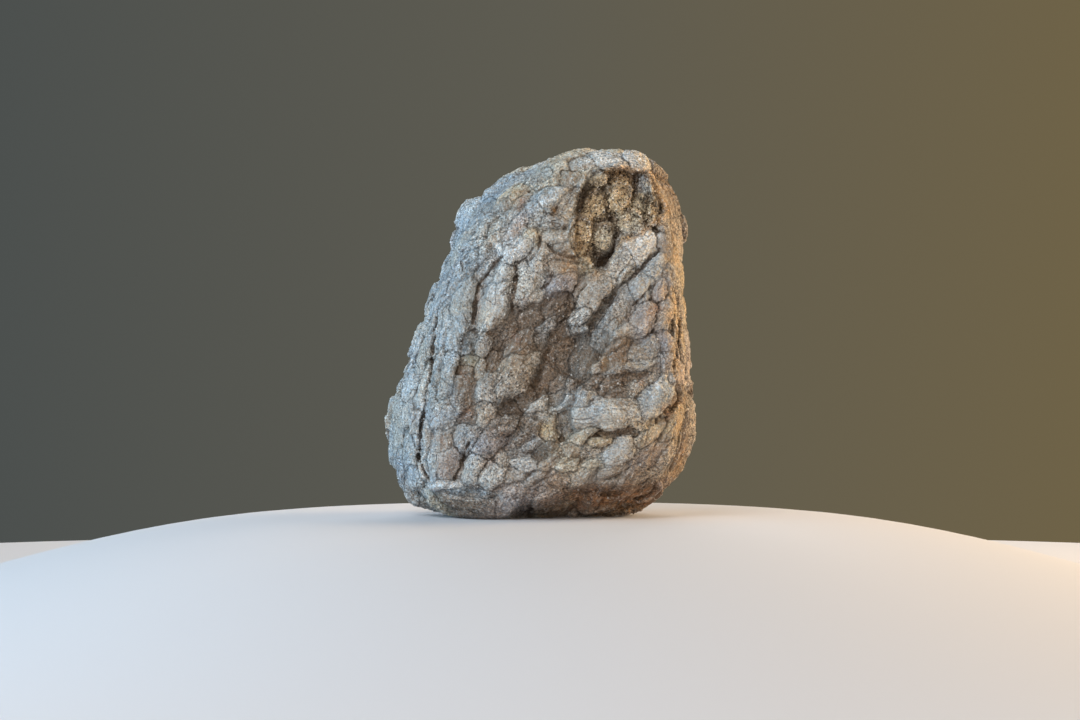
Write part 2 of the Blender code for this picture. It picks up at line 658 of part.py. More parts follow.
def lip_setback(places):
    """How far the front steps back below the lip near its foot."""
    lip = np.array(LIP)
    edge = np.interp(places[:, 0], lip[:, 0], lip[:, 1])
    ends = smoothstep(*LIP_START, places[:, 0] - lip[0, 0])
    ends *= 1.0 - smoothstep(*LIP_STOP, places[:, 0] - lip[-1, 0])
    return LIP_SETBACK * ends * smoothstep(0.0, LIP_STEP, edge - places[:, 1])


def carved(mesh):
    """Presses the lumps, cracks and hollows into the bare stone."""
    points = points_of(mesh)
    normals = normals_of(mesh)
    tree = BVHTree.FromPolygons([vertex.co for vertex in mesh.vertices],
                                [tuple(face.vertices) for face in mesh.polygons])
    lumps = filled_lumps(tree, placed_lumps(tree))
    height = lump_relief(points, lumps)
    places = seen(points)
    facing = smoothstep(*FACING, -np.sum(normals * unit(points - EYE), axis=1))
    height += facing * crack_relief(places) + side_form(points, 1.0 - facing)
    height -= facing * overhang(places, height)
    height *= smoothstep(*BASE_FADE, points[:, 2])
    inward = facing * (hollow_depth(places) + valley_depth(places) + lip_setback(places))
    moved = points + normals * height[:, None] + unit(points - EYE) * inward[:, None]
    set_points(mesh, moved)


def cut_flat(mesh):
    """Cuts the stone off level with the surface that it stands on."""
    shape = bmesh.new()
    shape.from_mesh(mesh)
    bmesh.ops.bisect_plane(shape, geom=shape.verts[:] + shape.edges[:] + shape.faces[:],
                           dist=1e-6, plane_co=(0, 0, 0), plane_no=(0, 0, 1),
                           clear_inner=True)
    rim = [edge for edge in shape.edges if edge.is_boundary]
    bmesh.ops.holes_fill(shape, edges=rim, sides=0)
    bmesh.ops.triangulate(shape, faces=shape.faces)
    bmesh.ops.recalc_face_normals(shape, faces=shape.faces)
    shape.to_mesh(mesh)
    shape.free()


def settle(mesh):
    """Centres the stone over the origin and lays its cut exactly on the surface."""
    points = points_of(mesh)
    points[np.abs(points[:, 2]) < BASE_SNAP, 2] = 0.0
    centre = 0.5 * (points.min(axis=0) + points.max(axis=0))
    points[:, :2] -= centre[:2]
    set_points(mesh, points)


def fossil_coral():
    """The whole stone as one object."""
    bare = modified(hull_mesh(), "bare", "REMESH", mode="VOXEL",
                    voxel_size=SHAPING_VOXEL * MM)
    bare = modified(bare, "worn", "SMOOTH", factor=0.5, iterations=ROUNDING_STEPS)
    carved(bare)
    whole = modified(bare, "even", "REMESH", mode="VOXEL", voxel_size=SURFACE_VOXEL * MM)
    whole = modified(whole, "eased", "SMOOTH", factor=0.5, iterations=EASING_STEPS)
    cut_flat(whole)
    ratio = TRIANGLES / len(whole.polygons)
    whole = modified(whole, "lean", "DECIMATE", ratio=ratio, use_collapse_triangulate=True)
    settle(whole)
    whole.name = "fossil_coral"
    whole.materials.append(stone_material())
    whole.shade_smooth()
    whole.set_sharp_from_angle(angle=SHARP_ANGLE)
    stone = bpy.data.objects.new("fossil_coral", whole)
    collection = bpy.data.collections.new("fossil_coral")
    bpy.context.scene.collection.children.link(collection)
    collection.objects.link(stone)
    return stone


remove_all_objects()
fossil_coral()
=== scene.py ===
"""The fossil coral in its finished dress: one weathered lump of coral limestone.

The stone is shaped from the same outlines, lumps, cracks and hollows as the solid that it
stands for, at a finer pitch, and then gets its weathered grain, its crystals and its
finishes. Lengths are in millimetres while the stone is shaped, and the finished meshes are in
metres. The lumps, cracks and stains of the front are laid out as an eye in front of the
stone sees them, on an upright plane near its face: across, then height.
"""
from __future__ import annotations

import logging
import math
from dataclasses import dataclass, field, fields
from enum import Enum
from typing import Iterable, NamedTuple, Sequence

import bmesh
import bpy
import numpy as np
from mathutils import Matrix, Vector
from mathutils.bvhtree import BVHTree
from mathutils.kdtree import KDTree


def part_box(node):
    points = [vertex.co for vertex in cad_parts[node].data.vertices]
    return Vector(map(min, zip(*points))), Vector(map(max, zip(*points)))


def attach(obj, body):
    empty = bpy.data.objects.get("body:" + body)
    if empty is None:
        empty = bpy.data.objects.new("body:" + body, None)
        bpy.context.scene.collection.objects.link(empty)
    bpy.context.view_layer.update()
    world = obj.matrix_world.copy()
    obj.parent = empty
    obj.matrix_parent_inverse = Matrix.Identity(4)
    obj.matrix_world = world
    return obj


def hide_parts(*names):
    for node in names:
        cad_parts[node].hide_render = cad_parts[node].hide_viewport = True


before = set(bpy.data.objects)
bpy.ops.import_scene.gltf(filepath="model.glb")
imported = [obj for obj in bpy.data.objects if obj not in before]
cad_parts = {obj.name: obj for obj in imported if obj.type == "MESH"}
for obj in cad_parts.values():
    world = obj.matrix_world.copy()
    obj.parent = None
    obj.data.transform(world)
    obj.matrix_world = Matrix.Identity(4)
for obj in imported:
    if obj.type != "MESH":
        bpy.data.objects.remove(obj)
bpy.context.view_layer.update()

MM = 0.001
NODE = "fossil_coral"
SEED = 7
TINY = 1e-9
WEIGHT_STEPS = 10
MUTING = 0.75
BODY = "root"
LOG = logging.getLogger("fossil_coral")

Array = np.ndarray
Place = tuple[float, float]
Span = tuple[float, float, float, float]
Colour = tuple[float, float, float, float]
Socket = bpy.types.NodeSocket


class Tint(Enum):
    """The colours of the weathered limestone, as sRGB from 0 to 255."""

    WHITE = (206, 204, 200)
    PALE = (182, 178, 171)
    CREAM = (196, 180, 150)
    ICE = (176, 184, 189)
    COOL = (160, 166, 168)
    BLUE = (142, 152, 160)
    GREY = (152, 147, 141)
    TAN = (164, 149, 131)
    SAND = (190, 160, 112)
    PINK = (174, 157, 148)
    PURPLE = (148, 139, 139)
    BROWN = (124, 102, 80)
    DARK = (104, 98, 90)
    UMBER = (88, 66, 46)
    OCHRE = (178, 134, 74)
    OLIVE = (142, 132, 106)
    # White of spar crystal faces, used also for painted highlights on them.
    SPAR = (244, 246, 248)
    GOLD = (218, 184, 132)
    RUST = (160, 100, 58)

    @property
    def linear(self) -> Array:
        """The colour as scene-linear red, green and blue, muted as weathered stone is."""
        share = np.array(self.value) / 255.0
        full = np.where(share <= 0.04045, share / 12.92, ((share + 0.055) / 1.055) ** 2.4)
        return full.mean() + MUTING * (full - full.mean())


class LumpSpec(NamedTuple):
    """A lump or pit as seen: its centre, its size, its turn in degrees and its rise."""

    across: float
    height: float
    length: float
    width: float
    turn: float
    rise: float
    tint: Tint


class Stain(NamedTuple):
    """A patch of colour as seen, with half its length and width, its turn and its share."""

    across: float
    height: float
    half_length: float
    half_width: float
    turn: float
    tint: Tint
    share: float


class Crack(NamedTuple):
    """A groove as seen: its half width, its depth and the points that it passes."""

    width: float
    depth: float
    line: tuple[Place, ...]


class Corallite(NamedTuple):
    """The open end of a coral tube in the hollow, as seen."""

    across: float
    height: float
    width: float
    tall: float
    rise: float
    tint: Tint


SECTIONS = (
    (0.0, ((-20, -2), (-19, -11), (-13, -16.5), (-2, -13), (8, -10), (15, -7.5),
           (18, -1), (14, 8), (1, 12), (-12, 11))),
    (3.4, ((-29.6, -1), (-23.5, -13), (-13, -19.5), (0, -18.5), (12, -17), (20, -12.5),
           (24, -3), (20, 12), (3, 17), (-15, 16))),
    (6.5, ((-32, 1), (-25.2, -14.5), (-12, -21), (2, -21.5), (14, -20.5), (24, -15.5),
           (25.8, -5), (23.5, 13), (4, 19.5), (-17, 18))),
    (11.0, ((-33.8, 4), (-26.4, -16), (-12, -22), (2, -22.5), (14, -22), (26, -16.5),
            (31.2, -4), (26, 14), (4, 21.5), (-19, 19.5))),
    (18.0, ((-34.2, 7), (-27.4, -17), (-12, -22), (2, -23), (16, -23), (28, -17.5),
            (33.6, -2), (27, 16), (5, 24), (-20, 22))),
    (24.0, ((-34, 8), (-26.6, -17.5), (-12, -22), (2, -22.5), (16, -23), (29, -17.5),
            (32.8, -2), (28, 17), (5, 25), (-20, 23))),
    (42.0, ((-27.8, 9), (-23, -16), (-11, -19.5), (3, -19.5), (15, -19.5), (28.3, -14.5),
            (30.8, 0), (26, 17), (6, 24), (-17, 22))),
    (58.0, ((-20.4, 9), (-17.4, -12.5), (-7, -16.5), (3, -16.5), (15, -15.5), (27.5, -10),
            (30.4, 2), (25, 16), (6, 21), (-12, 20))),
    (68.5, ((-18.4, 10), (-8.8, -10), (-2, -12.5), (6, -12.5), (15, -12), (26, -6.5),
            (30.3, 8), (23, 14), (6, 18), (-10, 17))),
    (73.5, ((-10.2, 9), (-4, -7), (2, -9.5), (8, -10), (16, -9.5), (24, -5.5),
            (28.6, 9), (22, 12), (8, 15), (-4, 14.5))),
    (77.0, ((-4.8, 6), (-0.5, -4), (5, -6.5), (10, -7.5), (16, -7.5), (22.6, -4.5),
            (23, -1), (20, 7), (10, 10), (0, 9))),
    (79.6, ((3.5, 3.5), (5.5, -1), (9, -3.5), (13, -4), (18, -3.5), (21.8, -1.5),
            (21, 1), (17, 5), (10, 6.5), (5, 6))),
    (80.2, ((10, 1), (13, -0.5), (18, 0), (18, 2), (13, 3))),
)

SHOULDER = (
    LumpSpec(-17.3, 47, 13, 4.6, 84, 0.8, Tint.COOL),
    LumpSpec(-15, 55, 8, 2.4, 48, 0.2, Tint.BLUE),
    LumpSpec(-16.8, 56, 7, 1.8, 50, -0.1, Tint.COOL),
    LumpSpec(-11.3, 60, 9, 2.3, 48, 0.4, Tint.PALE),
    LumpSpec(-8.5, 64.8, 8, 2.2, 48, 0.2, Tint.COOL),
    LumpSpec(-6.2, 58.7, 6, 4.6, 50, 0.9, Tint.WHITE),
    LumpSpec(-2.9, 61.2, 3.6, 3.2, 70, 0.7, Tint.CREAM),
    LumpSpec(-9, 53.2, 4, 3.4, 70, 0.3, Tint.PALE),
    LumpSpec(-10.6, 46.5, 10, 5.4, 82, 0.5, Tint.PALE),
    LumpSpec(-4, 51, 8.5, 5.6, 80, 0.2, Tint.PALE),
    LumpSpec(-0.8, 56.2, 6, 3.8, 75, 0.5, Tint.PALE),
    LumpSpec(2.3, 61.4, 4.6, 2.3, 168, 0.4, Tint.PALE),
    LumpSpec(2.8, 58.6, 3.4, 2.6, 30, 0.1, Tint.GREY),
    LumpSpec(0.8, 69.3, 7, 4, 42, 0.5, Tint.COOL),
    LumpSpec(-2.5, 66.5, 5, 4, 50, 0, Tint.COOL),
    LumpSpec(2.5, 64.6, 6, 2.6, 5, 0, Tint.GREY),
    LumpSpec(-5.3, 68.8, 5, 1.6, 60, 0.1, Tint.TAN),
    LumpSpec(5, 74, 3.6, 3, 60, 0.3, Tint.GREY),
    LumpSpec(-0.5, 74.3, 6, 2.6, 35, 0.2, Tint.COOL),
    LumpSpec(7.5, 77.3, 6, 2.6, 20, 0.2, Tint.WHITE),
    LumpSpec(13, 78.3, 7, 2.6, 0, 0.2, Tint.WHITE),
    LumpSpec(20.5, 77.8, 5.5, 4, 155, 0.2, Tint.WHITE),
    LumpSpec(16, 76.5, 5, 2, 0, 0.2, Tint.WHITE),
)
RIGHT_OF_HOLLOW = (
    LumpSpec(16.6, 54.8, 8.5, 6.2, 50, -0.7, Tint.PALE),
    LumpSpec(21.2, 59.0, 7.5, 6.4, 38, -0.5, Tint.WHITE),
    LumpSpec(21.0, 50.6, 6.8, 4.4, 60, 0.1, Tint.PALE),
    LumpSpec(24.2, 55.0, 6.4, 4.6, 58, 0.3, Tint.COOL),
    LumpSpec(17.5, 53.5, 7, 3, 50, 0, Tint.PALE),
    LumpSpec(27, 53, 5, 3.6, 85, 0.5, Tint.TAN),
    LumpSpec(26.6, 59.5, 6, 3, 85, 0, Tint.BROWN),
    LumpSpec(26.2, 63, 3, 2.4, 80, 0.2, Tint.BROWN),
)
MIDDLE = (
    LumpSpec(4.2, 54.2, 5, 3.2, 10, 0.3, Tint.TAN),
    LumpSpec(8.6, 54.2, 3.6, 3, 30, 0.1, Tint.OLIVE),
    LumpSpec(4.1, 50.6, 5.4, 4.6, 20, 0.5, Tint.PURPLE),
    LumpSpec(10.4, 49.2, 8, 5.8, 58, 0.4, Tint.TAN),
    LumpSpec(7.6, 43.8, 5, 3.4, 60, 0.6, Tint.PALE),
    LumpSpec(7.8, 41.4, 4.4, 2, 10, 0.1, Tint.GREY),
    LumpSpec(3.2, 47, 6, 4, 60, -1.6, Tint.BROWN),
    LumpSpec(-3.5, 44, 6, 3.4, 30, -1.6, Tint.BROWN),
    LumpSpec(-9, 41, 9, 3.6, 50, -1.8, Tint.BROWN),
    LumpSpec(0.6, 42.2, 5, 2.2, 50, -0.6, Tint.GREY),
    LumpSpec(-0.8, 38.8, 3.4, 2.8, 40, -0.2, Tint.GREY),
    LumpSpec(-4.7, 37.3, 6, 4.8, 65, 0.4, Tint.BROWN),
    LumpSpec(-3, 34.2, 4, 2, 25, 0.1, Tint.PALE),
    LumpSpec(-7, 30.7, 11, 5, 57, 0.7, Tint.TAN),
    LumpSpec(3.2, 37, 10, 4.4, 88, -2.8, Tint.BROWN),
    LumpSpec(0.3, 30.5, 8, 3.6, 60, -2.3, Tint.BROWN),
    LumpSpec(-3.5, 26.5, 6, 2.6, 50, -1.5, Tint.BROWN),
    LumpSpec(8.5, 36, 9, 5, 75, -2.4, Tint.DARK),
    LumpSpec(13.2, 46.3, 9, 1.8, 55, -2.0, Tint.DARK),
    LumpSpec(15.8, 44.5, 12, 4.6, 58, -0.7, Tint.GREY),
    LumpSpec(12, 39.3, 5, 3.6, 60, -1.5, Tint.DARK),
)
RIGHT = (
    LumpSpec(21.3, 44, 6.5, 5, 60, 0.4, Tint.PINK),
    LumpSpec(25.8, 44, 6.8, 4, 68, 0.6, Tint.TAN),
    LumpSpec(17, 40.8, 6, 3, 38, 0.3, Tint.PALE),
    LumpSpec(26, 38.6, 4.2, 3.6, 80, 0.5, Tint.PURPLE),
    LumpSpec(21.2, 37, 6, 4, 30, 0.3, Tint.GREY),
    LumpSpec(15.3, 37, 5, 3, 35, -0.2, Tint.BROWN),
    LumpSpec(26.2, 33.2, 4.4, 3.6, 85, 0.6, Tint.PURPLE),
    LumpSpec(18.8, 33.2, 8.5, 2, 20, 0.3, Tint.PALE),
    LumpSpec(11, 33, 2.5, 2.1, 20, -0.4, Tint.TAN),
    LumpSpec(13.2, 33.8, 2.6, 2.1, 0, -0.4, Tint.OCHRE),
    LumpSpec(10.8, 29.4, 4.4, 2, 38, -1.2, Tint.BROWN),
    LumpSpec(20, 31, 9, 1.8, 18, -1.0, Tint.BROWN),
    LumpSpec(14.5, 29.5, 5, 3, 30, -1.3, Tint.BROWN),
    LumpSpec(21.3, 29.8, 8, 3.2, 42, 0.3, Tint.TAN),
    LumpSpec(16.5, 27.3, 4.6, 2.2, 5, -0.4, Tint.BROWN),
    LumpSpec(24.3, 26.3, 10.5, 5.4, 60, 1.0, Tint.COOL),
    LumpSpec(13.6, 22.4, 14.5, 5.6, 4, 0.9, Tint.PALE),
    LumpSpec(28.5, 27, 2.2, 2, 0, -0.6, Tint.TAN),
    LumpSpec(21.5, 21, 4.6, 2, 5, 0, Tint.CREAM),
    LumpSpec(15.5, 18.4, 9, 1.4, 4, -1.2, Tint.BROWN),
    LumpSpec(23, 18.6, 7, 3.4, 45, 0.2, Tint.CREAM),
    LumpSpec(27.2, 19.5, 11, 2.4, 62, 0.3, Tint.SAND),
    LumpSpec(29.2, 20.5, 9, 1.8, 68, 0, Tint.SAND),
    LumpSpec(20.5, 13.8, 8, 2.6, 38, 0.2, Tint.PINK),
    LumpSpec(24.5, 14.5, 8, 2.4, 48, 0, Tint.PINK),
    LumpSpec(27.4, 14, 8, 2.2, 55, 0.1, Tint.TAN),
)
RIGHT_FACE = (
    LumpSpec(32, 21.5, 8, 2.4, 84, 0.5, Tint.TAN),
    LumpSpec(31.6, 15.5, 5, 2.6, 80, 0.3, Tint.TAN),
    LumpSpec(29.4, 12, 7, 2.8, 50, 0, Tint.OCHRE),
    LumpSpec(31, 27.5, 7, 1.8, 82, -0.3, Tint.PALE),
    LumpSpec(29.6, 31.5, 5, 2.4, 90, 0.2, Tint.PINK),
    LumpSpec(28.6, 34, 6, 1.4, 80, 0.2, Tint.SAND),
    LumpSpec(30.9, 37.5, 9, 2.0, 92, 0.5, Tint.PINK),
    LumpSpec(30.3, 45, 7, 1.6, 88, 0.3, Tint.SAND),
    LumpSpec(28.6, 44, 7, 1.4, 85, 0.2, Tint.SAND),
    LumpSpec(27.9, 41.2, 3.4, 1.4, 70, -1.4, Tint.DARK),
    LumpSpec(29.6, 52, 8, 1.8, 88, 0.3, Tint.SAND),
    LumpSpec(28.9, 60.5, 9, 1.8, 102, 0.3, Tint.TAN),
    LumpSpec(27.4, 69, 8, 3.4, 112, 0.3, Tint.BROWN),
    LumpSpec(24.9, 74.4, 2.4, 2, 120, -1.2, Tint.TAN),
)
FOOT = (
    LumpSpec(16.2, 14.3, 6, 3.8, 20, 0.6, Tint.PALE),
    LumpSpec(12.1, 17.1, 4, 3.2, 20, 0.3, Tint.SAND),
    LumpSpec(10.2, 14.6, 4.6, 2.4, 160, 0.2, Tint.TAN),
    LumpSpec(6.2, 15.3, 3.8, 3.2, 40, 0, Tint.TAN),
    LumpSpec(5.1, 11.7, 4, 3.4, 10, 0.7, Tint.CREAM),
    LumpSpec(10, 11.9, 5, 2.2, 15, 0.4, Tint.CREAM),
    LumpSpec(15.8, 10.8, 6, 2, 18, 0.2, Tint.TAN),
    LumpSpec(0.8, 12, 5, 2.4, 25, 0.5, Tint.TAN),
    LumpSpec(1.3, 19.4, 5.6, 3.2, 90, -0.2, Tint.SAND),
    LumpSpec(4.8, 20.5, 6, 2.4, 90, -1.6, Tint.DARK),
    LumpSpec(2.6, 29.8, 4, 3.4, 60, -1.4, Tint.BROWN),
    LumpSpec(3, 26.8, 4, 2.2, 70, -1.6, Tint.GREY),
    LumpSpec(-1.2, 25, 4.6, 2.8, 20, 0, Tint.PALE),
    LumpSpec(-0.5, 22.2, 3.4, 1.8, 10, -0.4, Tint.GREY),
    LumpSpec(-4.2, 19.2, 8, 3.6, 48, 0.1, Tint.BROWN),
    LumpSpec(-3.8, 15, 7, 2.2, 22, 0, Tint.GREY),
    LumpSpec(-4.5, 12, 5, 2.4, 10, 0.3, Tint.PALE),
    LumpSpec(0.3, 15.3, 4, 2, 30, -0.6, Tint.DARK),
)
LOWER_LEFT = (
    LumpSpec(-22.8, 32.2, 7, 2.3, 88, 0.2, Tint.COOL),
    LumpSpec(-20.3, 33, 7, 2.8, 85, 0.4, Tint.COOL),
    LumpSpec(-19.6, 40.5, 9, 3.4, 88, 0.1, Tint.COOL),
    LumpSpec(-21.9, 41.5, 9, 1.8, 82, 0, Tint.COOL),
    LumpSpec(-16.4, 38.5, 5, 3.4, 75, -0.8, Tint.DARK),
    LumpSpec(-13.2, 37.6, 5.6, 3.6, 70, 0, Tint.GREY),
    LumpSpec(-16.3, 34.4, 3.2, 2.4, 10, -0.6, Tint.OLIVE),
    LumpSpec(-17.4, 31.8, 2.6, 2.2, 80, -0.8, Tint.TAN),
    LumpSpec(-11.5, 34.5, 4, 3, 60, -1, Tint.BROWN),
    LumpSpec(-12, 28.2, 6.4, 4.8, 80, 0.6, Tint.GREY),
    LumpSpec(-17.7, 27.6, 7, 4.2, 70, 0.4, Tint.BROWN),
    LumpSpec(-22.6, 28, 5, 3, 85, 0, Tint.BLUE),
    LumpSpec(-13, 23.2, 4.6, 3.8, 60, 0.1, Tint.TAN),
    LumpSpec(-16.6, 22.6, 5, 2.2, 50, -0.6, Tint.BROWN),
    LumpSpec(-22.2, 22.5, 7, 4.6, 62, 0.6, Tint.ICE),
    LumpSpec(-8.6, 20.6, 6.4, 3.8, 20, 0.2, Tint.BROWN),
    LumpSpec(-7.2, 23.8, 4.2, 2.6, 10, -1.6, Tint.UMBER),
    LumpSpec(-16.7, 18, 5.4, 4.8, 60, 0.3, Tint.GREY),
    LumpSpec(-12.3, 16.6, 7, 5.6, 45, 0.5, Tint.PURPLE),
    LumpSpec(-22.2, 17.2, 5.4, 4, 85, 0.2, Tint.TAN),
    LumpSpec(-21.2, 12.2, 6.6, 4.8, 70, 0.7, Tint.PINK),
    LumpSpec(-15.2, 10.4, 6.2, 5, 60, 0.6, Tint.PALE),
    LumpSpec(-11.2, 9, 5.6, 4.6, 40, 0.4, Tint.PALE),
    LumpSpec(-7, 9.4, 5, 3.2, 30, 0.3, Tint.TAN),
    LumpSpec(-2.6, 9, 5, 3, 20, 0.3, Tint.TAN),
    LumpSpec(-8.7, 13.2, 3, 2.4, 60, 0.1, Tint.TAN),
    # This lump and the next are icy and white partly as painted blue bounce light from the
    # floor.
    LumpSpec(-24.8, 13, 9, 2, 80, 0, Tint.ICE),
    LumpSpec(-22, 7.6, 6, 2, 10, 0.1, Tint.WHITE),
)
UNDERSIDE = (
    LumpSpec(-16, 5.4, 10, 1.6, 0, -0.8, Tint.COOL),
    LumpSpec(-16, 2.8, 12, 3.6, 5, 0, Tint.BROWN),
    LumpSpec(-1, 6.2, 8, 1.8, 8, -0.2, Tint.UMBER),
    LumpSpec(3.4, 8.2, 6, 2, 5, -0.4, Tint.BROWN),
    LumpSpec(8, 6.6, 5, 2, 0, -0.8, Tint.BROWN),
    LumpSpec(13.2, 7.8, 5, 1.4, 5, 0, Tint.TAN),
    LumpSpec(14, 5.8, 8, 1.4, 3, -0.8, Tint.BROWN),
    LumpSpec(21, 8.8, 7, 1.8, 20, 0, Tint.TAN),
)
LEFT_FACE = (
    LumpSpec(-24.6, 45.4, 4, 1.8, 60, 0.6, Tint.PALE),
    LumpSpec(-24.9, 41.2, 4, 1.4, 80, 0.4, Tint.PALE),
    LumpSpec(-26.6, 37.5, 6, 1.8, 80, 0.8, Tint.ICE),
    LumpSpec(-28.6, 29, 8, 2.2, 84, 0.9, Tint.ICE),
    LumpSpec(-27.2, 32.6, 3, 1.4, 80, 0.2, Tint.PALE),
    LumpSpec(-29.4, 23.4, 5, 1.8, 88, 0.6, Tint.PALE),
    LumpSpec(-31.6, 20, 15, 2.2, 88, 0.8, Tint.COOL),
    LumpSpec(-29.3, 14.5, 7, 2.4, 97, 0.6, Tint.COOL),
    # This lump and the white one two rows down are icy and white partly as painted blue bounce
    # light from the floor.
    LumpSpec(-28.2, 9, 6, 2.4, 122, 0.4, Tint.ICE),
    LumpSpec(-30.4, 34, 8, 1.6, 75, 0.4, Tint.COOL),
    LumpSpec(-26.6, 5.2, 3, 1.8, 140, -1.4, Tint.WHITE),
    LumpSpec(-22.4, 51, 9, 2, 68, 0, Tint.BLUE),
    LumpSpec(-19.2, 58.5, 8, 1.8, 66, 0, Tint.COOL),
    LumpSpec(-20.6, 58, 9, 1.6, 72, -0.8, Tint.BLUE),
    LumpSpec(-16.5, 66.5, 7, 3.6, 60, 0.5, Tint.ICE),
    LumpSpec(-12.5, 67.5, 8, 2.4, 48, 0.1, Tint.BLUE),
)
LUMPS = (SHOULDER + RIGHT_OF_HOLLOW + MIDDLE + RIGHT + RIGHT_FACE + FOOT + LOWER_LEFT
         + UNDERSIDE + LEFT_FACE)

CORALLITES = (
    Corallite(11.2, 67.4, 4.8, 5.0, 0.7, Tint.SAND),
    Corallite(15.8, 68.7, 4.6, 5.4, 1.3, Tint.SAND),
    Corallite(20.1, 67.6, 2.8, 3.6, 0.6, Tint.OLIVE),
    Corallite(22.9, 66.4, 3.0, 4.6, 0.9, Tint.SAND),
    Corallite(18.2, 64.0, 5.4, 4.0, 1.2, Tint.CREAM),
    Corallite(8.2, 60.9, 4.3, 6.6, 2.8, Tint.SAND),
    Corallite(12.6, 60.5, 3.8, 5.0, 1.8, Tint.CREAM),
    Corallite(11.6, 73.6, 4.4, 3.8, 2.4, Tint.CREAM),
    Corallite(16.4, 73.4, 4.0, 3.2, 0.6, Tint.OCHRE),
    Corallite(21.2, 72.0, 2.4, 5.0, 1.6, Tint.BLUE),
    Corallite(23.5, 70.6, 2.0, 4.0, 0.6, Tint.SAND),
)
HOLLOW_RIM = (
    (10, 75), (8, 72.5), (6.5, 70), (6, 67), (6, 64), (5.7, 61), (5.6, 58.6), (6.8, 56.9),
    (9.5, 56), (11, 54), (13.8, 53.9), (15.7, 57.5), (17, 60.6), (20, 61.2), (22, 63),
    (24.8, 65), (26.8, 66.3), (25.5, 69.5), (24, 72), (22.8, 75), (18, 76), (14, 75.6),
)
VALLEYS = (
    (4.5, 38.5, 15, 6.5, 66, 3.0),
    (-8.0, 40.0, 9, 3.5, 50, 0.8),
    (17.5, 56.5, 10, 4.0, 48, 0.6),
)
CRACKS = (
    Crack(1.0, 1.6, ((-9.3, 57), (-11.8, 54), (-13.7, 51.5), (-14.6, 48.5), (-15.4, 42.5))),
    Crack(0.8, 1.2, ((-6.1, 55.5), (-6.1, 51.5), (-6.7, 49), (-6.7, 45.2))),
    Crack(0.8, 1.2, ((-1.3, 62.8), (-0.6, 60.3), (-1.8, 58), (-3.2, 56.2))),
    Crack(0.8, 1.3, ((1.6, 53.4), (1.2, 51.6), (-0.4, 50))),
    Crack(0.8, 1.2, ((9, 51), (7.5, 49.2), (6.5, 46.6))),
    Crack(0.8, 1.2, ((25, 58.6), (21.5, 55.3), (19.7, 52.8))),
    Crack(0.8, 1.2, ((23.3, 50.5), (21, 47.8), (19.2, 46.3))),
    Crack(1.0, 1.6, ((-16.3, 16.5), (-17.3, 13.8), (-18, 11.5), (-19.4, 8.6))),
    Crack(0.8, 1.3, ((7.4, 56.6), (4.8, 56.9), (2.2, 57.9), (1.0, 59.6))),
    Crack(1.6, 3.0, ((27.2, 31), (28, 29.5), (29.7, 27.5), (29.6, 26), (28.3, 24.8),
                     (24.5, 21.2))),
    Crack(0.6, 2.2, ((29.5, 49.2), (28.8, 46.8), (28.2, 44.8))),
    Crack(0.6, 2.0, ((29.5, 43.5), (29.5, 40.5), (28.9, 36.5), (28.2, 33))),
    Crack(0.9, 2.4, ((31, 23), (30.4, 19), (29.6, 15), (27.4, 10.6))),
    Crack(0.8, 3.2, ((-23.4, 43.4), (-24.2, 38), (-24.9, 31), (-25.8, 24.5), (-26.9, 19),
                     (-27.3, 13), (-25.2, 8.8))),
    Crack(0.7, 1.6, ((-21.6, 48.4), (-20.4, 52.6), (-18.2, 57.6), (-14.6, 61.4))),
)
LIP = ((-9, 1.5), (-5, 4.6), (1, 5.6), (5, 7.6), (11, 8.4), (24, 8.8), (27, 7.0))
SIDE_HOLLOWS = (
    ((16, 22, 54), 8, 3.0),
    ((-4, 26, 34), 7, 2.6),
    ((-14, 22, 16), 8, 2.4),
    ((12, 24, 18), 6, 2.0),
    ((-27, 12, 36), 7, 2.0),
    ((31, 9, 24), 7, 2.2),
    ((29, 8, 50), 6, 1.4),
    ((-8, 19, 62), 7, 2.0),
    ((4, 12, 77), 5, 1.2),
)
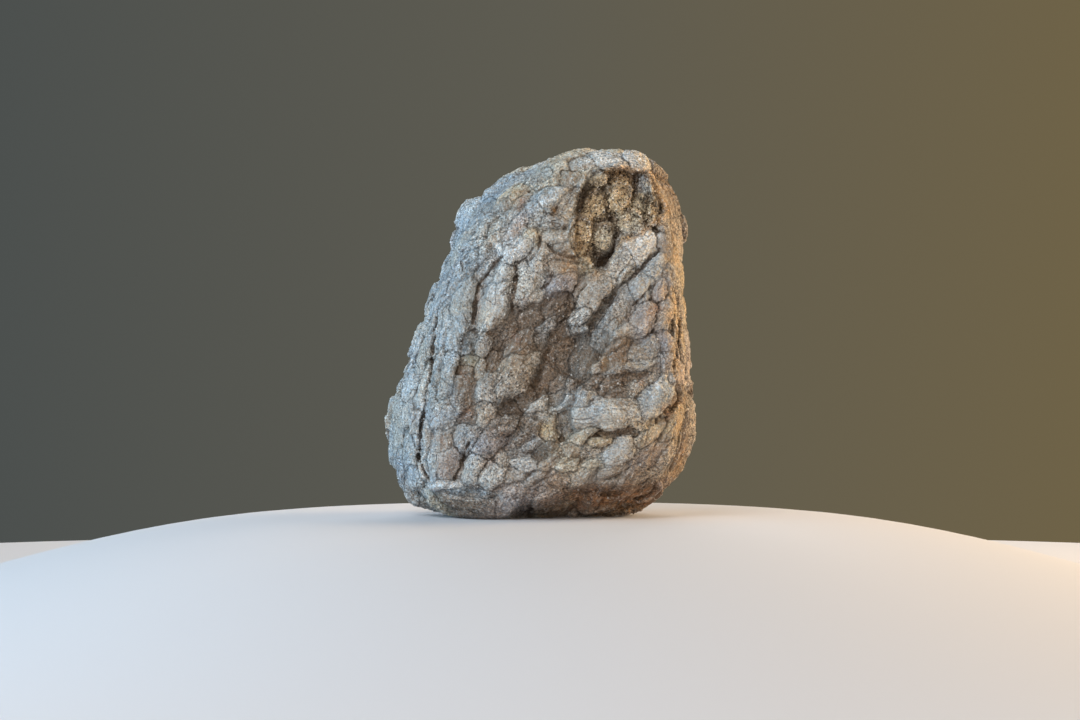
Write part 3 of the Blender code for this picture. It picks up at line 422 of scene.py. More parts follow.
STAINS = (
    # The white spar stains here are partly spar and partly painted highlights.
    Stain(22.6, 60.2, 3.4, 1.7, 28, Tint.SPAR, 1.0),
    Stain(12.0, 4.8, 9.0, 1.2, 3, Tint.OCHRE, 0.6),
    Stain(17.0, 70.6, 3.0, 1.6, 0, Tint.GOLD, 0.4),
    Stain(17.6, 77.0, 3.0, 0.8, 0, Tint.TAN, 0.5),
    Stain(0.8, 69.3, 2.4, 1.0, 42, Tint.SPAR, 0.6),
    Stain(-9.6, 61.4, 3.6, 0.7, 48, Tint.SPAR, 0.5),
    Stain(24.4, 27.4, 3.0, 0.9, 60, Tint.SPAR, 0.4),
    Stain(10.8, 50.6, 2.0, 0.8, 60, Tint.SPAR, 0.4),
    Stain(-5.3, 68.8, 2.4, 0.9, 62, Tint.RUST, 0.6),
    Stain(-6.3, 39, 1.2, 0.9, 30, Tint.RUST, 0.5),
    Stain(24, 45.5, 1.8, 0.7, 25, Tint.RUST, 0.6),
    Stain(21, 30, 1.6, 1.0, 40, Tint.RUST, 0.5),
    Stain(-11.5, 12.5, 1.4, 1.1, 0, Tint.RUST, 0.4),
    Stain(-17.4, 31.8, 1.2, 1.0, 0, Tint.RUST, 0.7),
    Stain(-16.6, 22.6, 1.6, 1.0, 50, Tint.RUST, 0.4),
    Stain(-22.2, 17.2, 1.4, 1.2, 80, Tint.RUST, 0.4),
    Stain(27, 24, 3.2, 1.2, 50, Tint.RUST, 0.6),
    Stain(17, 4.0, 8.0, 3.2, 0, Tint.OCHRE, 1.0),
    Stain(1.0, 54.5, 2.2, 2.8, 60, Tint.OCHRE, 0.35),
    Stain(5.6, 54.6, 2.6, 1.4, 10, Tint.OCHRE, 0.6),
    Stain(12.5, 53.4, 3.2, 0.9, 15, Tint.OCHRE, 0.55),
    Stain(-14.6, 47.0, 3.4, 0.6, 80, Tint.RUST, 0.45),
    Stain(13.6, 57.4, 2.6, 1.4, 60, Tint.UMBER, 0.8),
    Stain(-3.9, 47.3, 1.3, 0.8, 60, Tint.RUST, 0.35),
    # These two brown stains down the middle valley are its own brown and also painted shade.
    Stain(9.6, 32.5, 6.0, 4.6, 60, Tint.BROWN, 0.7),
    Stain(3.8, 37.5, 6.5, 2.4, 80, Tint.BROWN, 0.6),
    Stain(25.4, 70.0, 4.0, 0.6, 112, Tint.OCHRE, 0.9),
    Stain(2.2, 66.6, 1.0, 0.8, 0, Tint.OCHRE, 1.0),
    Stain(-6.6, 70.6, 2.0, 0.8, 60, Tint.OCHRE, 0.7),
    Stain(8.6, 76.2, 1.6, 0.8, 20, Tint.OCHRE, 0.7),
    Stain(4.6, 73.6, 1.6, 1.2, 60, Tint.OCHRE, 0.4),
    Stain(-3.5, 3.2, 6.0, 2.4, 0, Tint.DARK, 0.3),
    Stain(10.0, 4.2, 10.0, 2.6, 0, Tint.RUST, 0.45),
    Stain(18.0, 5.2, 5.0, 2.0, 0, Tint.RUST, 0.5),
    Stain(-12.0, 4.4, 5.0, 1.6, 0, Tint.DARK, 0.2),
    Stain(26.4, 57.0, 5.0, 1.2, 84, Tint.OCHRE, 0.6),
    Stain(27.6, 44.0, 6.0, 1.0, 88, Tint.OCHRE, 0.4),
    Stain(16.5, 22.6, 5.0, 1.6, 4, Tint.WHITE, 0.4),
)


def unit(vectors: Array) -> Array:
    """The vectors at length one."""
    return vectors / np.maximum(np.linalg.norm(vectors, axis=-1, keepdims=True), TINY)


def smoothstep(low: float, high: float, value: Array) -> Array:
    """0 below low, 1 above high, and a smooth rise between."""
    share = np.clip((value - low) / (high - low), 0.0, 1.0)
    return share * share * (3.0 - 2.0 * share)


def lattice_noise(points: Array, size: float, seed: int) -> Array:
    """Smooth noise from -1 to 1.

    Args:
        points: Places in millimetres.
        size: The size of the noise's features.
        seed: Picks the pattern.

    Returns:
        One value for each place.
    """
    cells = 32
    table = np.random.RandomState(seed).uniform(-1.0, 1.0, (cells,) * 3)
    scaled = points / size
    low = np.floor(scaled).astype(int)
    part = scaled - low
    part = part * part * (3.0 - 2.0 * part)
    total = np.zeros(len(points))
    for corner in range(8):
        step = np.array((corner & 1, corner >> 1 & 1, corner >> 2 & 1))
        share = np.prod(np.where(step, part, 1.0 - part), axis=1)
        index = (low + step) % cells
        total += share * table[index[:, 0], index[:, 1], index[:, 2]]
    return total


def distance_to_line(places: Array, line: Sequence[Place], closed: bool = False) -> Array:
    """Least distance from each place to a line of points.

    Args:
        places: Seen places, across and height.
        line: The points of the line.
        closed: Whether the last point joins the first.

    Returns:
        One distance for each place.
    """
    corners = np.array(line, dtype=float)
    ends = np.roll(corners, -1, axis=0) if closed else corners[1:]
    least = np.full(len(places), np.inf)
    for start, end in zip(corners, ends):
        run = end - start
        share = np.clip((places - start) @ run / (run @ run), 0.0, 1.0)
        foot = start + share[:, None] * run
        least = np.minimum(least, np.linalg.norm(places - foot, axis=1))
    return least


def inside(places: Array, outline: Sequence[Place]) -> Array:
    """Whether each seen place is within a closed outline."""
    corners = np.array(outline, dtype=float)
    within = np.zeros(len(places), dtype=bool)
    for start, end in zip(corners, np.roll(corners, -1, axis=0)):
        crosses = (start[1] > places[:, 1]) != (end[1] > places[:, 1])
        rise = end[1] - start[1] if end[1] != start[1] else TINY
        at = start[0] + (places[:, 1] - start[1]) / rise * (end[0] - start[0])
        within ^= crosses & (places[:, 0] < at)
    return within


def patch(places: Array, across: float, height: float, half_length: float,
          half_width: float, turn: float) -> Array:
    """A soft elliptical patch on the front as seen.

    Args:
        places: Seen places, across and height.
        across: The patch's centre across.
        height: The patch's centre in height.
        half_length: Half its length.
        half_width: Half its width.
        turn: The turn of its long axis in degrees.

    Returns:
        1 at the patch's middle, falling to 0 outside it.
    """
    angle = math.radians(turn)
    offset = places - (across, height)
    along = offset @ (math.cos(angle), math.sin(angle)) / half_length
    aside = offset @ (-math.sin(angle), math.cos(angle)) / half_width
    return np.exp(-(along ** 2 + aside ** 2))


def frame_on(normal: Array, along: Array) -> tuple[Array, Array]:
    """Two directions in the surface: the given one laid into it, and the one across it."""
    first = unit(along - normal * np.dot(along, normal))
    return first, np.cross(normal, first)


class Sheet:
    """A mesh with its points in millimetres, and the modifiers that work on it."""

    def __init__(self, mesh: bpy.types.Mesh) -> None:
        """Takes the mesh that it works on."""
        self.mesh = mesh

    @property
    def points(self) -> Array:
        """The mesh's points."""
        flat = np.empty(len(self.mesh.vertices) * 3, dtype=np.float32)
        self.mesh.vertices.foreach_get("co", flat)
        return flat.reshape(-1, 3).astype(np.float64) / MM

    @points.setter
    def points(self, places: Array) -> None:
        """Moves the mesh's points."""
        self.mesh.vertices.foreach_set("co", (places * MM).astype(np.float32).ravel())
        self.mesh.update()

    @property
    def normals(self) -> Array:
        """The mesh's outward directions, one for each point."""
        flat = np.empty(len(self.mesh.vertices) * 3, dtype=np.float32)
        self.mesh.vertex_normals.foreach_get("vector", flat)
        return flat.reshape(-1, 3).astype(np.float64)

    @property
    def triangles(self) -> int:
        """How many triangles the mesh comes to."""
        return sum(len(face.vertices) - 2 for face in self.mesh.polygons)

    def write(self, name: str, kind: str, values: Array) -> None:
        """Keeps values with the mesh's points.

        Args:
            name: The attribute's name.
            kind: Its type, FLOAT, FLOAT_VECTOR or FLOAT_COLOR.
            values: One row or number for each point.
        """
        target = self.mesh.attributes.new(name, kind, "POINT")
        holder = {"FLOAT": "value", "FLOAT_VECTOR": "vector", "FLOAT_COLOR": "color"}[kind]
        target.data.foreach_set(holder, np.ascontiguousarray(values, dtype=np.float32).ravel())

    def read(self, name: str, width: int = 1) -> Array:
        """Reads back values that are kept with the mesh's points."""
        source = self.mesh.attributes[name]
        holder = {1: "value", 3: "vector", 4: "color"}[width]
        flat = np.empty(len(self.mesh.vertices) * width, dtype=np.float32)
        source.data.foreach_get(holder, flat)
        return flat.astype(np.float64) if width == 1 else flat.reshape(-1, width).astype(float)

    def after(self, kind: str, weights: Array | None = None, **settings: object) -> Sheet:
        """The mesh after one modifier.

        Args:
            kind: The modifier's type.
            weights: Shares from 0 to 1, one for each point, for its vertex group.
            settings: The modifier's settings.

        Returns:
            A new sheet, and the old mesh stays as it was.
        """
        carrier = bpy.data.objects.new("carrier", self.mesh)
        bpy.context.scene.collection.objects.link(carrier)
        modifier = carrier.modifiers.new(kind, kind)
        if weights is not None:
            group = carrier.vertex_groups.new(name="share")
            for level in range(1, WEIGHT_STEPS + 1):
                chosen = np.nonzero(np.round(weights * WEIGHT_STEPS) == level)[0]
                group.add(chosen.tolist(), level / WEIGHT_STEPS, "REPLACE")
            modifier.vertex_group = group.name
        for setting, value in settings.items():
            setattr(modifier, setting, value)
        evaluated = carrier.evaluated_get(bpy.context.evaluated_depsgraph_get())
        result = bpy.data.meshes.new_from_object(evaluated)
        bpy.data.objects.remove(carrier, do_unlink=True)
        return Sheet(result)

    def smoothed(self, values: Array, rounds: int) -> Array:
        """Values evened out over the mesh.

        Args:
            values: One row for each point.
            rounds: How many times each point takes its neighbours' mean.

        Returns:
            The evened values.
        """
        flat = np.empty(len(self.mesh.edges) * 2, dtype=np.int32)
        self.mesh.edges.foreach_get("vertices", flat)
        first, second = flat[0::2], flat[1::2]
        count = len(self.mesh.vertices)
        ties = np.bincount(flat, minlength=count).astype(float)
        result = values.astype(float).reshape(count, -1).copy()
        for _ in range(rounds):
            for column in range(result.shape[1]):
                row = result[:, column]
                total = np.bincount(first, row[second], count)
                total += np.bincount(second, row[first], count)
                result[:, column] = 0.5 * row + 0.5 * total / np.maximum(ties, 1.0)
        return result.reshape(values.shape)


@dataclass(frozen=True)
class Eye:
    """The eye that the front is laid out for, and the upright plane that it is drawn on."""

    place: tuple[float, float, float] = (-0.9, -600.0, 34.5)
    plane_y: float = -16.0
    turned: Place = (0.02, 0.3)

    def seen(self, points: Array) -> Array:
        """Where the eye sees the points on the plane: across and height."""
        share = (self.plane_y - self.place[1]) / (points[:, 1] - self.place[1])
        across = self.place[0] + (points[:, 0] - self.place[0]) * share
        height = self.place[2] + (points[:, 2] - self.place[2]) * share
        return np.stack((across, height), axis=1)

    def sight(self, points: Array) -> Array:
        """The directions in which the eye looks at the points."""
        return unit(points - np.array(self.place))

    def facing(self, points: Array, normals: Array) -> Array:
        """1 where the surface turns to the eye, and 0 where it turns away."""
        return smoothstep(*self.turned, -np.sum(normals * self.sight(points), axis=1))


@dataclass
class Lump:
    """A lump where it lies on the bare stone, in millimetres."""

    place: Array
    normal: Array
    first: Array
    second: Array
    half_length: float
    half_width: float
    rise: float
    dome: float
    tint: Tint
    hidden: float = 0.0

    def distance(self, points: Array) -> Array:
        """Distance of the points from the lump's centre, 1 at its edge."""
        offset = points - self.place
        along = offset @ self.first / self.half_length
        across = offset @ self.second / self.half_width
        out = offset @ self.normal / max(self.half_length, self.half_width)
        return np.sqrt(along ** 2 + across ** 2 + out ** 2)


@dataclass
class BareStone:
    """The stone before any lump: the tight skin round its outlines, worn round."""

    voxel: float = 0.8
    rounding_steps: int = 8

    def skin(self) -> Sheet:
        """The tight skin round all the outlines."""
        shape = bmesh.new()
        for height, outline in SECTIONS:
            for across, depth in outline:
                shape.verts.new((across * MM, depth * MM, height * MM))
        result = bmesh.ops.convex_hull(shape, input=shape.verts)
        spare = {item for item in result["geom_interior"]
                 if isinstance(item, bmesh.types.BMVert)}
        bmesh.ops.delete(shape, geom=list(spare), context="VERTS")
        bmesh.ops.recalc_face_normals(shape, faces=shape.faces)
        mesh = bpy.data.meshes.new("bare_stone")
        shape.to_mesh(mesh)
        shape.free()
        return Sheet(mesh)

    def worn(self) -> Sheet:
        """The skin with its edges worn round."""
        even = self.skin().after("REMESH", mode="VOXEL", voxel_size=self.voxel * MM)
        return even.after("SMOOTH", factor=0.5, iterations=self.rounding_steps)


class Reading(NamedTuple):
    """What the lumps say at each point."""

    height: Array
    crevice: Array
    tint: Array
    grown: Array


@dataclass
class LumpField:
    """All the lumps of the stone, those of the front and those drawn for the other sides."""

    eye: Eye
    seed: int = SEED
    growth_origin: tuple[float, float, float] = (-22.0, 0.0, -30.0)
    middle: tuple[float, float, float] = (0.0, 0.0, 38.0)
    fill_length: Place = (4.8, 11.0)
    fill_width: Place = (2.8, 5.0)
    fill_variation: float = 0.15
    fill_rise: float = 0.7
    fill_flatness: float = 1.4
    fill_sway: float = math.radians(18)
    region_size: float = 16.0
    region_spread: float = 0.32
    fill_tries: int = 9000
    fill_spacing: float = 1.62
    dome_share: float = 0.18
    corallite_dome: float = 2.2
    corallite_spread: float = 1.22
    tilt: float = 0.34
    step_sharpness: float = 6.0
    crevice_width: float = 0.07
    side_widening: float = 0.08
    side_deepening: float = 1.2
    side_bulge: float = 0.9
    length_slant: float = 0.4
    least_slant: float = 0.3
    corallite_slant: float = 0.65
    stray: float = 0.9
    stray_size: float = 3.5
    ripple: float = 0.22
    ripple_size: float = 1.3
    calm: float = 0.5
    top_reach: float = 1.3
    cool_lean: float = -0.45
    warm_lean: float = 0.55
    lean_spread: float = 0.2
    stride_span: float = 400.0
    region_step: int = 11
    ripple_step: int = 40
    tint_step: int = 1000
    end_fall: float = 0.45
    flatness: float = 1.7
    end_join: float = 0.85
    tint_spread: float = 0.2
    grain_pull: float = 0.45
    grain_stride: float = 37.3
    fan_reach: float = 70.0
    chunk: int = 20000
    lumps: list[Lump] = field(default_factory=list)

    def lay(self, bare: Sheet) -> None:
        """Lays the lumps of the front on the bare stone and fills its other sides."""
        tree = BVHTree.FromPolygons([vertex.co for vertex in bare.mesh.vertices],
                                    [tuple(face.vertices) for face in bare.mesh.polygons])
        for spec in LUMPS:
            dome = self.dome_share * min(spec.length, spec.width)
            self.place(tree, spec, dome, self.least_slant)
        for end in CORALLITES:
            spec = LumpSpec(end.across, end.height, end.tall * self.corallite_spread,
                            end.width * self.corallite_spread, 90, end.rise,
                            end.tint)
            self.place(tree, spec, self.corallite_dome, self.corallite_slant)
        self.fill(tree)

    def place(self, tree: BVHTree, spec: LumpSpec, dome: float, slant: float) -> None:
        """Lays one lump where the eye's sight line meets the stone.

        Args:
            tree: The bare stone's faces.
            spec: The lump as seen.
            dome: How far its middle stands above its edge.
            slant: The least share to which the eye's slant may shorten its width.
        """
        target = np.array((spec.across, self.eye.plane_y, spec.height))
        start = np.array(self.eye.place)
        spot, normal, _, _ = tree.ray_cast(Vector(start * MM), Vector(unit(target - start)))
        if spot is None:
            return
        normal = np.array(normal)
        angle = math.radians(spec.turn)
        along = np.array((math.cos(angle), 0.0, math.sin(angle)))
        first, second = frame_on(normal, along)
        half_length = 0.5 * spec.length / max(math.hypot(first[0], first[2]),
                                            self.length_slant)
        half_width = 0.5 * spec.width / max(math.hypot(second[0], second[2]), slant)
        self.lumps.append(Lump(np.array(spot) / MM, normal, first, second, half_length,
                               half_width, spec.rise, dome, spec.tint))

    def fill(self, tree: BVHTree) -> None:
        """Adds lumps along the growth direction until the whole stone is covered.

        Args:
            tree: The bare stone's faces, which are met by rays cast from its middle.
        """
        random = np.random.RandomState(self.seed)
        middle = Vector(np.array(self.middle) * MM)
        hits = [tree.ray_cast(middle, Vector(way))
                for way in random.normal(size=(self.fill_tries, 3))]
        places = np.array([hit[0] for hit in hits]) / MM
        normals = np.array([hit[1] for hit in hits])
        region = lattice_noise(places, self.region_size, self.seed + self.region_step)
        free = np.ones(len(places), dtype=bool)
        for lump in self.lumps:
            free &= lump.distance(places) > self.fill_spacing
        for place, normal, swing, spot in zip(places, normals, region, range(len(places))):
            spread = math.exp(2.0 * self.region_spread * swing
                              + random.normal(0.0, self.fill_variation))
            length = random.uniform(*self.fill_length) * spread
            width = random.uniform(*self.fill_width) * spread
            sway = random.normal(0.0, self.fill_sway)
            rise = self.fill_rise * random.uniform(-1.0, 1.0)
            if not free[spot]:
                continue
            first, second = frame_on(normal, unit(place - self.growth_origin))
            along = first * math.cos(sway) + second * math.sin(sway)
            first, second = frame_on(normal, along)
            hidden = 1.0 - float(self.eye.facing(place[None], normal[None])[0])
            dome = self.dome_share * width / spread ** self.fill_flatness
            dome *= 1.0 + self.side_bulge * hidden
            lump = Lump(place, normal, first, second, 0.5 * length, 0.5 * width, rise, dome,
                        self.side_tint(place, normal, len(self.lumps)), hidden)
            self.lumps.append(lump)
            free &= lump.distance(places) > self.fill_spacing

    def side_tint(self, place: Array, normal: Array, index: int) -> Tint:
        """Picks the colour of a lump that the eye doesn't see.

        Args:
            place: Where the lump lies; not used.
            normal: The direction in which it faces.
            index: The lump's number, which seeds the choice.

        Returns:
            Cool tints where the lump faces left, warm ones where it faces right and both
            between: partly the stone's own colours and partly a painted cast of the cool light
            on the left and the warm lamp on the right.
        """
        # Painted light and own colour: the way a lump faces picks cool or warm tints, as the
        # cool light on the left and the warm lamp on the right tint it.
        cool = (Tint.COOL, Tint.ICE, Tint.PALE, Tint.BLUE, Tint.COOL, Tint.GREY)
        warm = (Tint.SAND, Tint.TAN, Tint.PINK, Tint.TAN, Tint.PALE, Tint.BROWN)
        mild = (Tint.PALE, Tint.GREY, Tint.TAN, Tint.PINK, Tint.COOL, Tint.CREAM, Tint.BROWN)
        random = np.random.RandomState(self.seed * self.tint_step + index)
        lean = normal[0] + random.normal(0.0, self.lean_spread)
        choices = cool if lean < self.cool_lean else warm if lean > self.warm_lean else mild
        return choices[random.randint(len(choices))]

    def read(self, homes: Array) -> Reading:
        """What the lumps say at places on the bare stone.

        Args:
            homes: The places.

        Returns:
            The height over the bare stone without crevices, how deep in a crevice each
            place is, its tint, and where it lies along and across its own lump.
        """
        parts = [self.read_chunk(homes[start:start + self.chunk])
                 for start in range(0, len(homes), self.chunk)]
        return Reading(*(np.concatenate(column) for column in zip(*parts)))

    def wandered(self, homes: Array) -> Array:
        """The places shifted a little, less in the hollow, so the edges are ragged."""
        result = homes.copy()
        stray = self.stray * (1.0 - self.calm * inside(self.eye.seen(homes), HOLLOW_RIM))
        for axis in range(3):
            result[:, axis] += stray * lattice_noise(homes, self.stray_size,
                                                     self.seed + axis)
            result[:, axis] += self.ripple * lattice_noise(homes, self.ripple_size,
                                                           self.seed + axis
                                                           + self.ripple_step)
        return result

    def read_chunk(self, homes: Array) -> Reading:
        """What the lumps say at some of the places."""
        shifted = self.wandered(homes)
        centre = np.array([lump.place for lump in self.lumps])
        axes = []
        for name, size in (("first", "half_length"), ("second", "half_width"),
                           ("normal", "")):
            rows = np.array([getattr(lump, name) for lump in self.lumps])
            reach = np.array([getattr(lump, size) if size
                              else max(lump.half_length, lump.half_width)
                              for lump in self.lumps])
            axes.append((shifted @ rows.T - np.sum(rows * centre, axis=1)) / reach)
        along, across, out = axes
        square = np.cbrt(np.abs(along) ** 3 + np.abs(across) ** 3) ** 2 + out ** 2
        ordered = np.sqrt(np.partition(square, 1, axis=1)[:, :2])
        nearest = ordered[:, 0]
        random = np.random.RandomState(self.seed + 1)
        tilts = self.tilt * random.uniform(-1.0, 1.0, (2, len(self.lumps)))
        rise = np.array([lump.rise for lump in self.lumps])
        dome = np.array([lump.dome for lump in self.lumps])
        tints = np.array([lump.tint.linear for lump in self.lumps])
        loaf = across ** 2 + self.end_fall * along ** 4 + out ** 2
        top = 1.0 - np.clip(loaf, 0.0, self.top_reach) ** self.flatness
        own = rise + dome * top + tilts[0] * along + tilts[1] * across
        share = np.exp(-self.step_sharpness * (square - nearest[:, None] ** 2))
        total = share.sum(axis=1)
        height = np.sum(share * own, axis=1) / total
        mixing = share ** self.tint_spread
        tint = mixing @ tints / np.sum(mixing, axis=1)[:, None]
        owner = np.argmin(square, axis=1)
        rows = np.arange(len(homes))
        hidden = np.array([lump.hidden for lump in self.lumps])[owner]
        width = self.crevice_width + self.side_widening * hidden
        crevice = np.exp(-((ordered[:, 1] - nearest) / width) ** 2)
        crevice *= 1.0 + self.side_deepening * hidden
        slim = np.array([lump.half_length / lump.half_width for lump in self.lumps])[owner]
        end = np.abs(along[rows, owner]) ** 3
        end /= end + np.abs(across[rows, owner]) ** 3 + TINY
        crevice *= 1.0 - self.end_join * end * np.clip(slim - 1.0, 0.0, 1.0)
        halves = np.array([(lump.half_length * self.grain_pull, lump.half_width,
                            max(lump.half_length, lump.half_width))
                           for lump in self.lumps])[owner]
        grown = np.stack([axis[rows, owner] for axis in axes], axis=1) * halves
        grown += (owner[:, None] * self.grain_stride) % self.stride_span
        grown = np.where(hidden[:, None] < 0.5, grown, self.fanned(shifted))
        return Reading(height, crevice, tint, grown)

    def fanned(self, homes: Array) -> Array:
        """The places in a frame that is drawn together along the growth direction."""
        away = homes - self.growth_origin
        reach = np.linalg.norm(away, axis=1, keepdims=True)
        return away / reach * (self.fan_reach + self.grain_pull * (reach - self.fan_reach))


@dataclass
class Carving:
    """The hollow, the valleys, the lip, the cracks and the hidden sides' broad form."""

    eye: Eye
    hollow_depth: float = 6.5
    hollow_wall: float = 1.6
    hollow_ease: float = 0.35
    hollow_run: Place = (14.0, 22.0)
    rim_reach: float = 5.0
    rim_ease: float = 2.4
    rim_height: float = 0.6
    lip_setback: float = 6.0
    lip_step: float = 3.6
    swell_size: float = 13.0
    swell_height: float = 1.1
    swell_step: int = 21
    dimple: float = 0.6
    dimple_radius: float = 0.4
    lip_ends: tuple[float, float, float] = (4.0, 2.0, 1.0)
    least_plates: int = 10
    plate_height: float = 0.14
    plate_run: Span = (0.25, 0.5, 0.8, 1.0)
    wall_height: float = 0.25
    wall_radius: float = 0.86
    wall_spread: float = 0.14
    moat_depth: float = 0.5
    moat_radius: float = 1.06
    moat_spread: float = 0.1
    seed: int = SEED

    def hollow(self, places: Array) -> Array:
        """How deep the hollow below the crown is at seen places."""
        rim = distance_to_line(places, HOLLOW_RIM, closed=True)
        within = inside(places, HOLLOW_RIM)
        depth = self.hollow_depth * smoothstep(0.0, self.hollow_wall, rim) * within
        depth *= 1.0 - self.hollow_ease * smoothstep(*self.hollow_run, places[:, 0])
        for end in CORALLITES:
            depth += self.dimple * np.exp(-(self.end_radius(places, end)
                                            / self.dimple_radius) ** 2)
        return depth

    def overhang(self, places: Array, height: Array) -> Array:
        """How far the corallites' lumps would stand out at the hollow's rim and beyond."""
        rim = distance_to_line(places, HOLLOW_RIM, closed=True)
        within = 1.0 - smoothstep(0.0, self.rim_ease, rim)
        beyond = 1.0 - smoothstep(0.0, self.rim_reach, rim)
        near = np.where(inside(places, HOLLOW_RIM), within, beyond)
        return near * np.maximum(height - self.rim_height, 0.0)

    def end_radius(self, places: Array, end: Corallite) -> Array:
        """Distance of seen places from a corallite's centre, 1 at its edge."""
        return np.hypot((places[:, 0] - end.across) / (0.5 * end.width),
                        (places[:, 1] - end.height) / (0.5 * end.tall))

    def valleys(self, places: Array) -> Array:
        """How deep the broad hollows of the front are at seen places."""
        total = np.zeros(len(places))
        for across, height, half_length, half_width, turn, depth in VALLEYS:
            total += depth * patch(places, across, height, half_length, half_width, turn)
        return total

    def lip(self, places: Array) -> Array:
        """How far the front steps back below the lip near its foot."""
        lip = np.array(LIP)
        edge = np.interp(places[:, 0], lip[:, 0], lip[:, 1])
        start, before, beyond = self.lip_ends
        ends = smoothstep(lip[0, 0], lip[0, 0] + start, places[:, 0])
        ends *= 1.0 - smoothstep(lip[-1, 0] - before, lip[-1, 0] + beyond, places[:, 0])
        return self.lip_setback * ends * smoothstep(0.0, self.lip_step, edge - places[:, 1])

    def cracks(self, places: Array, slimness: float = 1.0) -> Array:
        """How deep the cracks are at seen places, with their widths times slimness."""
        total = np.zeros(len(places))
        for crack in CRACKS:
            away = distance_to_line(places, crack.line) / (crack.width * slimness)
            total = np.maximum(total, crack.depth * np.exp(-away ** 2))
        return total

    def sides(self, points: Array, hidden: Array) -> Array:
        """Height of the swells and hollows of the sides that the eye doesn't see."""
        total = self.swell_height * hidden * lattice_noise(points, self.swell_size,
                                                           self.seed + self.swell_step)
        for place, reach, depth in SIDE_HOLLOWS:
            away = np.linalg.norm(points - place, axis=1)
            total -= depth * hidden * np.exp(-(away / reach) ** 2)
        return total

    def septa(self, places: Array) -> Array:
        """Height of the corallites' rims and of the plates that run in from them."""
        total = np.zeros(len(places))
        for index, end in enumerate(CORALLITES):
            radius = self.end_radius(places, end)
            angle = np.arctan2(places[:, 1] - end.height, places[:, 0] - end.across)
            plates = self.least_plates + 2 * (index % 3)
            inner = smoothstep(*self.plate_run[:2], radius)
            band = inner * (1.0 - smoothstep(*self.plate_run[2:], radius))
            total += self.plate_height * np.cos(plates * angle + index) * band
            wall = (radius - self.wall_radius) / self.wall_spread
            moat = (radius - self.moat_radius) / self.moat_spread
            total += self.wall_height * np.exp(-wall ** 2)
            total -= self.moat_depth * np.exp(-moat ** 2)
        return total


@dataclass
class TreeSheet:
    """Places nodes in a tree and joins them."""

    tree: bpy.types.NodeTree

    def feed(self, socket: Socket, value: object) -> None:
        """Joins a socket to an input, or sets the input's value."""
        if isinstance(value, bpy.types.NodeSocket):
            self.tree.links.new(value, socket)
        else:
            socket.default_value = value

    def add(self, kind: str, inputs: dict | None = None, **settings: object
            ) -> bpy.types.Node:
        """Adds a node.

        Args:
            kind: The node's type.
            inputs: Values or sockets for its inputs, by name or number.
            settings: The node's own settings.

        Returns:
            The node.
        """
        node = self.tree.nodes.new(kind)
        for setting, value in settings.items():
            setattr(node, setting, value)
        for key, value in (inputs or {}).items():
            self.feed(node.inputs[key], value)
        return node

    def attribute(self, name: str, kind: str) -> Socket:
        """Reads what is kept with the mesh's points, in a Geometry Nodes tree."""
        return self.add("GeometryNodeInputNamedAttribute", {"Name": name},
                        data_type=kind).outputs[0]

    def math(self, operation: str, first: object, second: object = 0.0,
             clamp: bool = False) -> Socket:
        """One sum on numbers."""
        node = self.add("ShaderNodeMath", {0: first, 1: second}, operation=operation,
                        use_clamp=clamp)
        return node.outputs[0]

    def vector(self, operation: str, first: object, second: object = (0.0, 0.0, 0.0)
               ) -> Socket:
        """One sum on vectors."""
        node = self.add("ShaderNodeVectorMath", {0: first, 1: second}, operation=operation)
        return node.outputs[0]

    def scaled(self, vector: Socket, share: object) -> Socket:
        """A vector times a number."""
        node = self.add("ShaderNodeVectorMath", {0: vector, "Scale": share},
                        operation="SCALE")
        return node.outputs[0]

    def span(self, value: Socket, from_low: float, from_high: float, to_low: float,
             to_high: float, smooth: bool = False) -> Socket:
        """A number carried from one range to another, kept within it."""
        node = self.add("ShaderNodeMapRange", {0: value, 1: from_low, 2: from_high,
                                               3: to_low, 4: to_high}, clamp=True,
                        interpolation_type="SMOOTHSTEP" if smooth else "LINEAR")
        return node.outputs[0]

    def noise(self, place: object, scale: object, detail: float = 2.0,
              roughness: float = 0.5) -> Socket:
        """Smooth noise from 0 to 1."""
        node = self.add("ShaderNodeTexNoise", {"Vector": place, "Scale": scale,
                                               "Detail": detail, "Roughness": roughness})
        return node.outputs[0]

    def cells(self, place: object, scale: object, feature: str = "F1") -> bpy.types.Node:
        """A pattern of cells."""
        return self.add("ShaderNodeTexVoronoi", {"Vector": place, "Scale": scale},
                        feature=feature)

    def mix(self, share: object, first: object, second: object,
            blend: str = "MIX") -> Socket:
        """Two colours mixed."""
        node = self.add("ShaderNodeMix", {0: share, 6: first, 7: second},
                        data_type="RGBA", blend_type=blend)
        return node.outputs[2]


